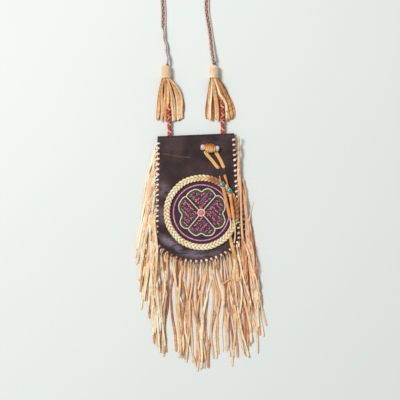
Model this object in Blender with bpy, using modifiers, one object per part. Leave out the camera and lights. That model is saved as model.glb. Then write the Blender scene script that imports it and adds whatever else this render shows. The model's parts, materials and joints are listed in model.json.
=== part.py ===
# Tassel bag: a laced leather pouch with a fringed flap, lying on its back
# X runs to the right, Y up the bag and Z up from the floor, all in metres
# The origin is in the middle of the back panel's flat outer face
import math

import bmesh
import bpy
from mathutils import Matrix, Vector

# Leather, lace and clearances
LEATHER = 0.0018
GAP = 0.0003
LACE_WIDTH = 0.0036
LACE_THICK = 0.0011
SLIT_INSET = 0.005
FRINGE_THICK = 0.0012
STRAND_WIDTH = 0.0028
FLOOR_GAP = 0.0002
LAYER_GAP = 0.0008

# Pouch, measured at its edge
POUCH_TOP = 0.120
POUCH_BOTTOM = -0.122
POUCH_TOP_HALF = 0.0775
POUCH_LOW_HALF = 0.0915
POUCH_CENTRE = -0.001
POUCH_LEAN = 0.002
MOUTH_WIDTH = 0.016
SEAM_START = 0.026
RIM_WIDTH = 0.0105
SLOPE_WIDTH = 0.017
POUCH_STITCH = 0.025
FOLD_STEPS = 9
FOLD_CLEAR = 0.002
FOLD_EASE = 0.0156

# Flap
FLAP_BOTTOM = -0.127
FLAP_TOP_HALF = 0.076
FLAP_LOW_HALF = 0.0845
FLAP_CENTRE = -0.001
FLAP_LEAN = -0.0055
FLAP_STITCH = 0.0165
FLAP_LACE_START = 0.007
HINGE_GAP = 0.0007
CORNER_RADIUS = 0.013
BOTTOM_RADIUS = 0.108

# Fringe
STRAND_LENGTH = 0.222
STRAND_TURN = 0.005
STRAND_CLEAR = 0.0004
STRAND_VARIES = 0.05
FRINGE_FALL = 0.45
FALL_STEPS = 60
LAND_WIDTH = 0.008
BAND_STEP = 0.011
CORNER_CLEAR = 0.002

# Fringe down each side: a strand every so many slits, kept this clear of the corner
# Slopes: how far a strand leans to the right for its drop, by its share of the way round the edge
POUCH_FRINGE = {
    "left": (1, 0.016),
    "right": (2, 0.030),
    "slopes": [(0.0, -0.235), (0.34, -0.165), (0.5, -0.045), (0.66, 0.12), (1.0, 0.145)],
}
FLAP_FRINGE = {
    "left": (2, 0.012),
    "right": (4, 0.050),
    "slopes": [(0.0, -0.235), (0.34, -0.165), (0.5, -0.045), (0.66, 0.05), (1.0, 0.085)],
}

# Medallion and its braided ring
MEDALLION_X = 0.0034
MEDALLION_Y = -0.029
MEDALLION_RADIUS = 0.0675
MEDALLION_THICK = 0.0012
BRAID_RADIUS = 0.0690
BRAID_SWING = 0.0042
BRAID_RISE = 0.00165
BRAID_LACE_WIDTH = 0.0024
BRAID_LACE_THICK = 0.0010
BRAID_BIGHTS = 25

# Toggle, its legs and the beaded thongs
TOGGLE_LENGTH = 0.037
TOGGLE_RADIUS = 0.0056
TOGGLE_WAIST = 0.0042
TOGGLE_FLARE = 0.0022
TOGGLE_END = 0.0034
WRAP_LENGTH = 0.018
WRAP_WALL = 0.0012
LEG_RADIUS = 0.0024
LEG_RISE = 0.0012
THONG_WIDTH = 0.0024
THONG_THICK = 0.0011
BEAD_RADIUS = 0.0035
BEAD_SHARE = 0.85
TUBE_RADIUS = 0.0027
BORE_RADIUS = 0.0017

# Tassels, drops and strap
CAP_RADIUS = 0.010
CAP_WALL = 0.0015
CAP_LENGTH = 0.024
CAP_SHOULDER = 0.002
CAP_TOP_RADIUS = 0.0066
CAP_NECK_RADIUS = 0.009
CAP_STEPS = 12
CAP_TURN = math.radians(-2.4)
SKIRT_HEADER = 0.0091
SKIRT_LENGTH = 0.084
SKIRT_FLARE = (0.030, 0.42)
SKIRT_VARIES = 0.003
SKIRT_HALF_WIDTH = 0.0295
SKIRT_HALF_HEIGHT = 0.0084
SKIRT_STRIPS = 11
SKIRT_PARTING = math.radians(22)
SKIRT_THICK = 0.0010
STRIP_SHARE = 0.76
DROP_RADIUS = 0.0040
DROP_LOBE = 0.0006
DROP_PITCH = 0.021
DROP_STEPS = 12
KNOT_RADIUS = 0.0046
STRAP_WIDTH = 0.008
COIL_CENTRE = (-0.012, 0.4590)
COIL_RADIUS = 0.052
COIL_HOLE = 0.036
COIL_HEIGHT = 0.013
COIL_EDGE = 0.003

# Heights that follow from the stack of leather at the edge, from the floor up
BACK_RIM_Z = FLOOR_GAP + LACE_THICK + GAP
POUCH_HEADER_Z = BACK_RIM_Z + LEATHER + GAP
FRONT_RIM_Z = POUCH_HEADER_Z + FRINGE_THICK + GAP
POUCH_LACE_TOP = FRONT_RIM_Z + LEATHER + GAP + LACE_THICK
FLAP_HEADER_Z = POUCH_LACE_TOP + LAYER_GAP + LACE_THICK + GAP
FLAP_Z = FLAP_HEADER_Z + FRINGE_THICK + GAP
FLAP_TOP_Z = FLAP_Z + LEATHER
FRONT_PLATEAU_Z = FLAP_Z - THONG_THICK - 2 * GAP - LEATHER
FOLD_RADIUS = FLAP_TOP_Z / 2
MEDALLION_Z = FLAP_TOP_Z + GAP
LACE_TOP = FLAP_TOP_Z + GAP + LACE_THICK
BRAID_BOTTOM = max(MEDALLION_Z + MEDALLION_THICK, LACE_TOP) + GAP
BRAID_MIDDLE = BRAID_BOTTOM + BRAID_RISE * math.sin(math.radians(60)) + BRAID_LACE_THICK / 2
BRAID_TOP = 2 * BRAID_MIDDLE - BRAID_BOTTOM
TUBE_Z = BRAID_TOP + GAP + max(BEAD_RADIUS, TUBE_RADIUS)
WRAP_RADIUS = TOGGLE_WAIST + GAP + WRAP_WALL
TOGGLE_Z = FLAP_TOP_Z + GAP + max(TOGGLE_RADIUS, WRAP_RADIUS)
TOGGLE_PLACE = Vector((0.0258, 0.0988, TOGGLE_Z))
TOGGLE_TILT = math.radians(-3)

# The pieces that swing with the flap, by the start of their names
FLAP_PIECES = ("flap_panel", "flap_lacing", "flap_fringe", "medallion", "toggle", "dangle", "bead", "tube")

# Where each drop leaves the top fold, and the tassel that it carries
DROPS = {
    "left": {"hole_x": -0.0545, "cap": (-0.0559, 0.2425), "skirt_lean": 0.0085},
    "right": {"hole_x": 0.0505, "cap": (0.0400, 0.2385), "skirt_lean": 0.0125},
}

# Each leg runs from the toggle to a hole; its thong comes out of the next one
THONGS = {
    "left": {
        "leg": [(0.0160, 0.0905), (0.0290, 0.0740)],
        "hole": (0.0414, 0.0573),
        "exit": (0.0428, 0.0422),
        "bead": (0.0465, 0.0255),
        "tube": [(0.0485, 0.0195), (0.0603, -0.0436)],
        "end": [(0.0612, -0.0520), (0.0608, -0.0576)],
    },
    "right": {
        "leg": [(0.0378, 0.0900), (0.0460, 0.0735)],
        "hole": (0.0525, 0.0579),
        "exit": (0.0535, 0.0438),
        "bead": (0.0612, 0.0128),
        "tube": [(0.0619, 0.0062), (0.0668, -0.0444)],
        "end": [(0.0690, -0.0620), (0.0687, -0.0795), (0.0662, -0.0929)],
    },
}

# The strap's route on each side, from the knot at its cap to the coil
STRAP_ROUTES = {
    "left": [(-0.0551, 0.3020, 0.0058), (-0.0565, 0.3190, 0.0042), (-0.0563, 0.3590, 0.0042),
             (-0.0558, 0.3900, 0.0042), (-0.0580, 0.4277, 0.0042)],
    "right": [(0.0396, 0.2970, 0.0058), (0.0384, 0.3100, 0.0042), (0.0349, 0.3549, 0.0042),
              (0.0318, 0.3900, 0.0042), (0.0337, 0.4272, 0.0042)],
}


def clear_scene():
    for thing in list(bpy.data.objects):
        bpy.data.objects.remove(thing)


def new_collection(name):
    made = bpy.data.collections.new(name)
    bpy.context.scene.collection.children.link(made)
    return made


def leather(name, colour, roughness=0.7):
    made = bpy.data.materials.new(name)
    made.use_nodes = True
    shader = made.node_tree.nodes["Principled BSDF"]
    shader.inputs["Base Color"].default_value = (*colour, 1)
    shader.inputs["Roughness"].default_value = roughness
    return made


def add_object(name, data, material, where):
    made = bpy.data.objects.new(name, data)
    if material:
        data.materials.append(material)
    where.objects.link(made)
    return made


def smooth_step(share):
    share = min(max(share, 0), 1)
    return share * share * (3 - 2 * share)


def mix(low, high, share):
    return low + (high - low) * share


def mesh_from(name, points, faces):
    mesh = bpy.data.meshes.new(name)
    mesh.from_pydata([tuple(p) for p in points], [], faces)
    mesh.update()
    return mesh


def loft(name, sections, closed=False):
    """A solid through sections of equally many corners."""
    corners = len(sections[0])
    points = [p for section in sections for p in section]
    faces = []
    for row in range(len(sections) if closed else len(sections) - 1):
        near = row * corners
        far = (row + 1) % len(sections) * corners
        for k in range(corners):
            after = (k + 1) % corners
            faces.append((near + k, near + after, far + after, far + k))
    if not closed:
        last = (len(sections) - 1) * corners
        faces.append(tuple(reversed(range(corners))))
        faces.append(tuple(last + k for k in range(corners)))
    mesh = mesh_from(name, points, faces)
    shape = bmesh.new()
    shape.from_mesh(mesh)
    bmesh.ops.recalc_face_normals(shape, faces=shape.faces)
    shape.to_mesh(mesh)
    shape.free()
    return mesh


def turned(name, profile, steps, material, where):
    """A profile of (radius, height) pairs, top to bottom down its outer side, turned round Z."""
    points = [(radius, 0, height) for radius, height in profile]
    edges = [(k, k + 1) for k in range(len(points) - 1)]
    if profile[0] == profile[-1]:
        points.pop()
        edges[-1] = (len(points) - 1, 0)
    mesh = bpy.data.meshes.new(name)
    mesh.from_pydata(points, edges, [])
    made = add_object(name, mesh, material, where)
    screw = made.modifiers.new("turn", "SCREW")
    screw.steps = steps
    screw.render_steps = steps
    screw.use_merge_vertices = True
    screw.merge_threshold = 0.00001
    screw.use_smooth_shade = True
    return made


def tube(name, points, radius, material, where):
    curve = bpy.data.curves.new(name, "CURVE")
    curve.dimensions = "3D"
    curve.bevel_depth = radius
    curve.bevel_resolution = 2
    curve.use_fill_caps = True
    spline = curve.splines.new("POLY")
    spline.points.add(len(points) - 1)
    for point, place in zip(spline.points, points):
        point.co = (*place, 1)
    return add_object(name, curve, material, where)


def smooth_route(points, spacing):
    """Points at about the given spacing on a smooth curve through the route's own points."""
    route = [Vector(p) for p in points]
    route = [2 * route[0] - route[1], *route, 2 * route[-1] - route[-2]]
    fine = []
    for a, b, c, d in zip(route, route[1:], route[2:], route[3:]):
        for k in range(8):
            t = k / 8
            fine.append(0.5 * (2 * b + (c - a) * t + (2 * a - 5 * b + 4 * c - d) * t * t
                               + (3 * b - a - 3 * c + d) * t ** 3))
    fine.append(route[-2])
    long = sum((b - a).length for a, b in zip(fine, fine[1:]))
    count = max(round(long / spacing), 2)
    made = [fine[0]]
    walked = 0
    for a, b in zip(fine, fine[1:]):
        walked += (b - a).length
        if walked >= len(made) * long / count and len(made) < count:
            made.append(b)
    return [*made, fine[-1]]


class Edge:
    """A panel's outline from its top left corner down, round the bottom and up to the top right."""

    def __init__(self, top, bottom, halves, centre, lean):
        self.top = top
        self.bottom = bottom
        self.halves = halves
        self.centre = centre
        self.lean = lean
        right = self.half_outline()
        self.points = [Vector((self.middle(p.y) - p.x, p.y)) for p in right[:-1]]
        self.points += [Vector((self.middle(p.y) + p.x, p.y)) for p in reversed(right)]
        steps = [(b - a).length for a, b in zip(self.points, self.points[1:])]
        self.marks = [sum(steps[:k]) for k in range(len(self.points))]
        self.length = self.marks[-1]
        self.corner = self.marks[1]

    def middle(self, y):
        return self.centre + self.lean * (POUCH_TOP - y) / (POUCH_TOP - self.bottom)

    def half(self, y):
        share = (POUCH_TOP - y) / (POUCH_TOP - self.bottom)
        return mix(self.halves[0], self.halves[1], share)

    def half_outline(self):
        start = Vector((self.half(self.top), self.top))
        run = (Vector((self.half(self.bottom), self.bottom)) - start).normalized()
        inward = Vector((run.y, -run.x))
        arc_centre = Vector((0, self.bottom + BOTTOM_RADIUS))
        reach = start + inward * CORNER_RADIUS - arc_centre
        along = reach.dot(run)
        far = math.sqrt(along ** 2 - reach.length_squared + (BOTTOM_RADIUS - CORNER_RADIUS) ** 2)
        side_end = start + run * (far - along)
        corner_centre = side_end + inward * CORNER_RADIUS
        points = [start, side_end]
        first = math.atan2(*reversed(side_end - corner_centre))
        turn = math.atan2(*reversed(corner_centre - arc_centre))
        for k in range(1, 4):
            angle = mix(first, turn, k / 3)
            points.append(corner_centre + CORNER_RADIUS * Vector((math.cos(angle), math.sin(angle))))
        for k in range(1, 7):
            angle = mix(turn, -math.pi / 2, k / 6)
            points.append(arc_centre + BOTTOM_RADIUS * Vector((math.cos(angle), math.sin(angle))))
        points[-1].x = 0
        return points

    def outward(self, k):
        """The outward normal at a corner point, the mean of its two sides."""
        before = self.points[max(k - 1, 0)]
        after = self.points[min(k + 1, len(self.points) - 1)]
        if k == 1:
            before = self.points[0]
            after = self.points[1]
        if k == len(self.points) - 2:
            before = self.points[-2]
            after = self.points[-1]
        along = (after - before).normalized()
        return Vector((along.y, -along.x))

    def at(self, distance, out=0.0):
        """The point at a distance along the outline, moved outward, and the outward normal there."""
        k = max(i for i, mark in enumerate(self.marks[:-1]) if mark <= max(distance, 0))
        share = (distance - self.marks[k]) / (self.marks[k + 1] - self.marks[k])
        normal = self.outward(k).lerp(self.outward(k + 1), min(max(share, 0), 1)).normalized()
        return self.points[k].lerp(self.points[k + 1], share) + normal * out, normal

    def outside(self, point):
        """How far a point lies outside the outline, negative inside it."""
        best = None
        for a, b in zip(self.points, self.points[1:]):
            side = b - a
            share = min(max((point - a).dot(side) / side.length_squared, 0), 1)
            away = point - (a + side * share)
            sign = 1 if away.x * side.y - away.y * side.x > 0 else -1
            if best is None or away.length < abs(best):
                best = away.length * sign
        return best


class Seam:
    """Evenly spaced slits along an edge."""

    def __init__(self, edge, start, stitch):
        self.edge = edge
        self.start = start
        self.count = round((edge.length - 2 * start) / stitch)
        self.step = (edge.length - 2 * start) / self.count

    def slit(self, k):
        return self.start + self.step * k

    def slit_corners(self, k, width, thick):
        """The four corners, in plan, of slit k for a lace of this section."""
        centre, normal = self.edge.at(self.slit(k), -SLIT_INSET)
        along = Vector((-normal.y, normal.x)) * (width / 2 + GAP)
        across = normal * (thick / 2 + GAP)
        return [centre - along - across, centre + along - across,
                centre + along + across, centre - along + across]


def spiral_lace(name, seam, low, high, material, where):
    """One lace sewn over the edge: down through each slit, out below and back over the top."""
    inner = -SLIT_INSET
    half = LACE_THICK / 2
    bends = [
        (0, (inner - half, high + LACE_THICK), (inner + half, high)),
        (0, (inner - half, low - LACE_THICK), (inner + half, low)),
        (0.5, (GAP + LACE_THICK, low - LACE_THICK), (GAP, low)),
        (0.5, (GAP + LACE_THICK, high + LACE_THICK), (GAP, high)),
    ]
    sections = []
    for k in range(seam.count + 1):
        for shift, outer_bend, inner_bend in bends:
            if k == seam.count and shift:
                continue
            along = seam.start + seam.step * (k + shift)
            section = []
            for (out, height), side in ((outer_bend, -1), (outer_bend, 1), (inner_bend, 1), (inner_bend, -1)):
                point, normal = seam.edge.at(along, out)
                point = point + Vector((-normal.y, normal.x)) * side * LACE_WIDTH / 2
                section.append((point.x, point.y, height))
            sections.append(section)
    return add_object(name, loft(name, sections), material, where)


def slit_cutters(name, seam, low, high, where):
    """Boxes for all the slits of a seam, as one cutter."""
    shape = bmesh.new()
    for k in range(seam.count + 1):
        corners = seam.slit_corners(k, LACE_WIDTH, LACE_THICK)
        bottom = [shape.verts.new((p.x, p.y, low)) for p in corners]
        top = [shape.verts.new((p.x, p.y, high)) for p in corners]
        shape.faces.new(reversed(bottom))
        shape.faces.new(top)
        for i in range(4):
            j = (i + 1) % 4
            shape.faces.new((bottom[i], bottom[j], top[j], top[i]))
    bmesh.ops.recalc_face_normals(shape, faces=shape.faces)
    mesh = bpy.data.meshes.new(name)
    shape.to_mesh(mesh)
    shape.free()
    return hide_cutter(add_object(name, mesh, None, where))


def hide_cutter(cutter):
    cutter.hide_render = True
    cutter.display_type = "WIRE"
    return cutter


def cut(made, cutter):
    modifier = made.modifiers.new(cutter.name, "BOOLEAN")
    modifier.operation = "DIFFERENCE"
    modifier.object = cutter


def solidify(made, thickness):
    modifier = made.modifiers.new("leather", "SOLIDIFY")
    modifier.thickness = thickness
    modifier.offset = 1
    modifier.use_even_offset = True


def panel_rows(edge, stops, rim_z, flat_z, fade=None):
    """Rows of a panel's lower surface: a level rim, then a slope to the flat middle."""
    rows = []
    steps = [(0, 0), (RIM_WIDTH, 0), (RIM_WIDTH + SLOPE_WIDTH / 2, 0.6), (RIM_WIDTH + SLOPE_WIDTH, 1)]
    for distance, share in steps:
        row = []
        for stop in stops:
            point, _ = edge.at(stop)
            keep = max(point.y, edge.bottom + BOTTOM_RADIUS * 0.8)
            inward = Vector((edge.middle(point.y), keep)) - point
            place = point + inward.normalized() * distance
            edge_z = rim_z if fade is None else mix(rim_z, flat_z, fade(place.y))
            row.append((place.x, place.y, mix(edge_z, flat_z, share)))
        rows.append(row)
    return rows


def panel_stops(edge, extra):
    """Distances along an edge at which a panel's rows have points."""
    sides = [edge.marks[0], *extra, *edge.marks[1:-1], *[edge.length - d for d in reversed(extra)]]
    return [*sides, edge.length]


def panel_mesh(name, rows, folds=()):
    """Quads between the rows, one flat face in the middle, and strips to each fold line on top."""
    count = len(rows[0])
    points = [p for row in rows for p in row]
    faces = []
    for row in range(len(rows) - 1):
        for k in range(count - 1):
            near = row * count + k
            faces.append((near, near + 1, near + 1 + count, near + count))
    last = (len(rows) - 1) * count
    faces.append(tuple(last + k for k in range(count)))
    top = [row * count for row in range(len(rows))]
    top += [row * count + count - 1 for row in reversed(range(len(rows)))]
    for y, z in folds:
        start = len(points)
        points += [(points[k][0], y, z) for k in top]
        line = list(range(start, len(points)))
        for k in range(len(top) - 1):
            faces.append((top[k], top[k + 1], line[k + 1], line[k]))
        top = line
    mesh = mesh_from(name, points, faces)
    shape = bmesh.new()
    shape.from_mesh(mesh)
    bmesh.ops.recalc_face_normals(shape, faces=shape.faces)
    middle = max(shape.faces, key=lambda face: face.calc_area())
    if middle.normal.z < 0:
        bmesh.ops.reverse_faces(shape, faces=shape.faces)
    shape.to_mesh(mesh)
    shape.free()
    return mesh


def build_back(edge, seam, material, where, cutters):
    """The back panel, level on the floor, with a raised rim and the fold at its top."""
    clear_y = POUCH_TOP - FOLD_CLEAR
    start_y = POUCH_TOP - FOLD_EASE
    stops = panel_stops(edge, [edge.top - clear_y, edge.top - start_y])
    rows = panel_rows(edge, stops, BACK_RIM_Z, 0.0,
                      lambda y: smooth_step((y - start_y) / (clear_y - start_y)))
    folds = []
    for k in range(1, FOLD_STEPS + 1):
        angle = math.pi * (k / FOLD_STEPS - 0.5)
        folds.append((POUCH_TOP + FOLD_RADIUS * math.cos(angle), FOLD_RADIUS + FOLD_RADIUS * math.sin(angle)))
    made = add_object("back_panel", panel_mesh("back_panel", rows, folds), material, where)
    solidify(made, LEATHER)
    cut(made, slit_cutters("back_slit_cutter", seam, -LEATHER, BACK_RIM_Z + 2 * LEATHER, cutters))
    for side, drop in DROPS.items():
        bpy.ops.mesh.primitive_cylinder_add(
            vertices=8, radius=DROP_RADIUS + DROP_LOBE + GAP, depth=4 * LEATHER,
            location=(drop["hole_x"], POUCH_TOP + FOLD_RADIUS, FOLD_RADIUS), rotation=(math.pi / 2, 0, 0))
        cutter = bpy.context.object
        cutter.name = f"drop_hole_cutter_{side}"
        for holder in cutter.users_collection:
            holder.objects.unlink(cutter)
        cutters.objects.link(cutter)
        cut(made, hide_cutter(cutter))
    return made


def build_front(edge, seam, material, where, cutters):
    """The front panel, domed over the pouch's room, with its free top edge as the mouth."""
    rows = panel_rows(edge, panel_stops(edge, []), FRONT_RIM_Z, FRONT_PLATEAU_Z)
    made = add_object("front_panel", panel_mesh("front_panel", rows), material, where)
    solidify(made, LEATHER)
    cut(made, slit_cutters("front_slit_cutter", seam, FRONT_RIM_Z - LEATHER / 4,
                           FRONT_RIM_Z + 2 * LEATHER, cutters))
    return made


def flat_outline(name, outlines, low, thick, material, where):
    """A flat sheet: the first outline is its edge and the others are holes."""
    curve = bpy.data.curves.new(name, "CURVE")
    curve.dimensions = "2D"
    curve.fill_mode = "BOTH"
    curve.extrude = thick / 2
    for outline in outlines:
        spline = curve.splines.new("POLY")
        spline.points.add(len(outline) - 1)
        for point, place in zip(spline.points, outline):
            point.co = (place[0], place[1], 0, 1)
        spline.use_cyclic_u = True
    made = add_object(name, curve, material, where)
    made.location.z = low + thick / 2
    return made


def circle(centre, radius, sides):
    turns = [2 * math.pi * k / sides for k in range(sides)]
    return [(centre[0] + radius * math.cos(t), centre[1] + radius * math.sin(t)) for t in turns]


def thong_slot(thong):
    """The slot that a thong comes up through, square to its run behind the flap."""
    centre = Vector(thong["exit"])
    along = (centre - Vector(thong["hole"])).normalized()
    across = Vector((-along.y, along.x)) * (THONG_WIDTH / 2 + GAP)
    thick = along * (THONG_THICK / 2 + GAP)
    return [centre - across - thick, centre + across - thick,
            centre + across + thick, centre - across + thick]


def build_flap(edge, seam, material, where):
    """The flap, one flat piece with the slits of its lacing and the holes of the toggle."""
    outlines = [edge.points]
    outlines += [seam.slit_corners(k, LACE_WIDTH, LACE_THICK) for k in range(seam.count + 1)]
    for thong in THONGS.values():
        outlines.append(circle(thong["hole"], LEG_RADIUS + GAP, 8))
        outlines.append(thong_slot(thong))
    return flat_outline("flap_panel", outlines, FLAP_Z, LEATHER, material, where)


def comb(name, edge, start, end, strands, low, material, where):
    """A strip of fringe: a band sewn in along the edge, with strands cut out of its outer side."""
    band_in = -(SLIT_INSET - LACE_THICK / 2 - 3 * GAP)
    band_out = -GAP
    half = STRAND_WIDTH / 2
    stops = [(start, None)]
    for strand in strands:
        stops += [(strand["root"] - half, strand), (strand["root"] + half, None)]
    stops.append((end, None))
    points = []
    faces = []
    band = []
    for (here, strand), (there, _) in zip(stops, stops[1:] + [(end, None)]):
        band.append((here, strand))
        count = 1 if strand else math.ceil((there - here) / BAND_STEP)
        band += [(mix(here, there, k / count), None) for k in range(1, count)]
    for distance, _ in band:
        for out in (band_in, band_out):
            place, _ = edge.at(distance, out)
            points.append((place.x, place.y, low))
    for k in range(len(band) - 1):
        faces.append((2 * k, 2 * k + 1, 2 * k + 3, 2 * k + 2))
        strand = band[k][1]
        if strand:
            near = (2 * k + 1, 2 * k + 3)
            for centre, side in strand["sections"]:
                first = len(points)
                points.append(centre - side * half)
                points.append(centre + side * half)
                faces.append((near[0], first, first + 1, near[1]))
                near = (first, first + 1)
    made = add_object(name, mesh_from(name, points, faces), material, where)
    solidify(made, FRINGE_THICK)
    return made


def hang(edge, root, slope, length, low, height_at):
    """The sections of one strand: out past the lacing, a bend, then down at the given slope."""
    lift = GAP + LACE_THICK + GAP + STRAND_CLEAR
    out, normal = edge.at(root, lift)
    down = Vector((slope, -1)).normalized()
    bend = 1 - normal.dot(down)
    side = Vector((-normal.y, normal.x, 0))
    sections = [(Vector((out.x, out.y, low)), side)]
    turned_at = out + normal * STRAND_TURN * 0.5 * bend + down * STRAND_TURN
    side = Vector((-down.y, down.x, 0))
    run = length - STRAND_TURN
    places = [turned_at + down * run * k / FALL_STEPS for k in range(FALL_STEPS + 1)]
    heights = [min(max(height_at(p), low - FRINGE_FALL * (p - out).length), low) for p in places]
    lands = min(k for k, height in enumerate(heights) if height < min(heights) + GAP / 10)
    falls = max([k for k in range(lands) if heights[k] > max(heights) - GAP], default=0)
    for k in sorted({falls, lands, (lands + FALL_STEPS) // 2, FALL_STEPS}):
        sections.append((Vector((places[k].x, places[k].y, heights[k])), side))
    return sections


def strand_slope(slopes, share):
    """How far a strand leans to the right for its drop, by its place along the edge."""
    for (a, low), (b, high) in zip(slopes, slopes[1:]):
        if share <= b:
            return mix(low, high, (share - a) / (b - a))
    return slopes[-1][1]


def fringe_strands(seam, roots, low, height_at, slopes):
    strands = []
    for k, root in enumerate(roots):
        shorter = STRAND_VARIES * (1 - math.sin(2.4 * k + root * 90))
        length = STRAND_LENGTH * (1 - shorter)
        slope = strand_slope(slopes, root / seam.edge.length)
        strands.append({"root": root, "sections": hang(seam.edge, root, slope, length, low, height_at)})
    return strands


def side_roots(seam, every, clear, right=False):
    """Every so many slits down a side, clear of the strands that come out at the corner."""
    roots = [seam.slit(k) for k in range(1, seam.count, round(every))]
    roots = [root for root in roots if root < seam.edge.corner - clear]
    return sorted(seam.edge.length - root for root in roots) if right else roots


def bottom_roots(seam):
    """Two strands at each slit between the two bottom corners."""
    edge = seam.edge
    slits = [seam.slit(k) for k in range(seam.count + 1)]
    roots = [s + side * seam.step / 4 for s in slits for side in (-1, 1)]
    first = edge.corner + CORNER_CLEAR
    return [root for root in roots if first < root < edge.length - first]


def build_fringe(name, seam, low, height_at, fringe, material, where):
    """The three lengths of fringe along one seam."""
    edge = seam.edge
    bottom = bottom_roots(seam)
    joint = bottom[0] - STRAND_WIDTH / 2 - 2 * GAP
    left = side_roots(seam, *fringe["left"])
    right = side_roots(seam, *fringe["right"], True)
    lengths = {
        "left": (seam.start, joint - GAP, left),
        "bottom": (joint, edge.length - joint, bottom),
        "right": (edge.length - joint + GAP, edge.length - seam.start, right),
    }
    for side, (start, end, roots) in lengths.items():
        strands = fringe_strands(seam, roots, low, height_at, fringe["slopes"])
        comb(f"{name}_{side}", edge, start, end, strands, low, material, where)


def build_medallion(material, where):
    bpy.ops.mesh.primitive_cylinder_add(
        vertices=40, radius=MEDALLION_RADIUS, depth=MEDALLION_THICK,
        location=(MEDALLION_X, MEDALLION_Y, MEDALLION_Z + MEDALLION_THICK / 2))
    made = bpy.context.object
    made.name = "medallion"
    made.data.materials.append(material)
    for holder in made.users_collection:
        holder.objects.unlink(made)
    where.objects.link(made)


def build_braid(material, where):
    """One flat lace plaited into a ring of three leads, over one and under one all the way."""
    path = []
    for k in range(6 * BRAID_BIGHTS):
        swing = math.radians(30 + 60 * k)
        round_angle = 3 * swing / BRAID_BIGHTS
        radius = BRAID_RADIUS + BRAID_SWING * math.sin(swing)
        path.append(Vector((radius * math.cos(round_angle), radius * math.sin(round_angle),
                            BRAID_RISE * math.sin(2 * swing))))
    sections = []
    for k, place in enumerate(path):
        along = path[(k + 1) % len(path)] - path[k - 1]
        side = Vector((-along.y, along.x, 0)).normalized() * BRAID_LACE_WIDTH / 2
        up = Vector((0, 0, BRAID_LACE_THICK / 2))
        sections.append([place - side - up, place + side - up, place + side + up, place - side + up])
    made = add_object("medallion_braid", loft("medallion_braid", sections, True), material, where)
    made.location = (MEDALLION_X, MEDALLION_Y, BRAID_MIDDLE)


def build_toggle(bone, wrap_leather, where):
    """A bone toggle with a thick end each way and a leather wrap round its waist."""
    half = TOGGLE_LENGTH / 2
    wrap_half = WRAP_LENGTH / 2
    profile = [(0, half), (TOGGLE_END, half), (TOGGLE_RADIUS, half - TOGGLE_FLARE),
               (TOGGLE_WAIST, wrap_half), (TOGGLE_WAIST, -wrap_half),
               (TOGGLE_RADIUS, TOGGLE_FLARE - half), (TOGGLE_END, -half), (0, -half)]
    lying = Matrix.Rotation(TOGGLE_TILT, 4, "Z") @ Matrix.Rotation(math.pi / 2, 4, "Y")
    toggle = turned("toggle", profile, 12, bone, where)
    toggle.matrix_world = Matrix.Translation(TOGGLE_PLACE) @ lying
    inner = WRAP_RADIUS - WRAP_WALL
    long = wrap_half - 2 * GAP
    profile = [(inner, long), (WRAP_RADIUS, long - GAP), (WRAP_RADIUS, GAP - long), (inner, -long),
               (inner, long)]
    wrap = turned("toggle_wrap", profile, 12, wrap_leather, where)
    wrap.matrix_world = Matrix.Translation(TOGGLE_PLACE) @ lying


def build_leg(side, thong, material, where):
    """A rolled leg from under the wrap, over the flap and down into its hole."""
    over = FLAP_TOP_Z + GAP + LEG_RADIUS
    route = [(*thong["leg"][0], over + LEG_RISE)]
    route += [(*p, over) for p in thong["leg"][1:]]
    route += [(*thong["hole"], over), (*thong["hole"], FLAP_Z + GAP)]
    tube(f"toggle_leg_{side}", route, LEG_RADIUS, material, where)


def thong_route(thong):
    """A thong's route with its section's thickness direction at each point."""
    behind = FLAP_Z - GAP - THONG_THICK / 2
    over = FLAP_TOP_Z + GAP + THONG_THICK / 2
    hole = Vector(thong["hole"])
    out = Vector(thong["exit"])
    bead = Vector(thong["bead"])
    tube_in, tube_out = (Vector(p) for p in thong["tube"])
    ends = [Vector(p) for p in thong["end"]]
    run = (out - hole).normalized()
    down = Vector((run.x, run.y, 0))
    up = Vector((0, 0, 1))
    bend = up - down
    route = [(Vector((*hole, behind)), up), (Vector((*out, behind)), bend), (Vector((*out, over)), bend)]
    rise = mix(over, TUBE_Z, 0.45)
    route.append((Vector((*out.lerp(bead, 0.4), rise)), up))
    into_bead = bead - (tube_in - bead).normalized() * (BEAD_RADIUS * BEAD_SHARE + GAP)
    route.append((Vector((*into_bead, TUBE_Z)), up))
    route.append((Vector((*tube_in, TUBE_Z)), up))
    route.append((Vector((*tube_out, TUBE_Z)), up))
    middle = Vector((MEDALLION_X, MEDALLION_Y))
    ring_end = BRAID_RADIUS + BRAID_SWING + 2 * THONG_WIDTH
    for end in ends:
        height = TUBE_Z if (end - middle).length < ring_end else LACE_TOP + GAP + THONG_THICK / 2
        route.append((Vector((*end, height)), up))
    return route


def build_thong(side, thong, material, where):
    """A flat thong: behind the flap from the leg's hole, up its slot, through bead and tube."""
    route = thong_route(thong)
    sections = []
    for k, (place, thick) in enumerate(route):
        before = route[max(k - 1, 0)][0]
        after = route[min(k + 1, len(route) - 1)][0]
        along = after - before
        side_way = Vector((-along.y, along.x, 0)).normalized() * THONG_WIDTH / 2
        half = thick * THONG_THICK / 2
        sections.append([place - side_way - half, place + side_way - half,
                         place + side_way + half, place - side_way + half])
    name = f"dangle_thong_{side}"
    return add_object(name, loft(name, sections), material, where)


def lay_along(made, start, end):
    """Turns a piece made round Z to lie from start to end, with its origin in the middle."""
    way = Vector(end) - Vector(start)
    turn = Vector((0, 0, 1)).rotation_difference(way.normalized()).to_matrix().to_4x4()
    made.matrix_world = Matrix.Translation((Vector(start) + Vector(end)) / 2) @ turn


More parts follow.
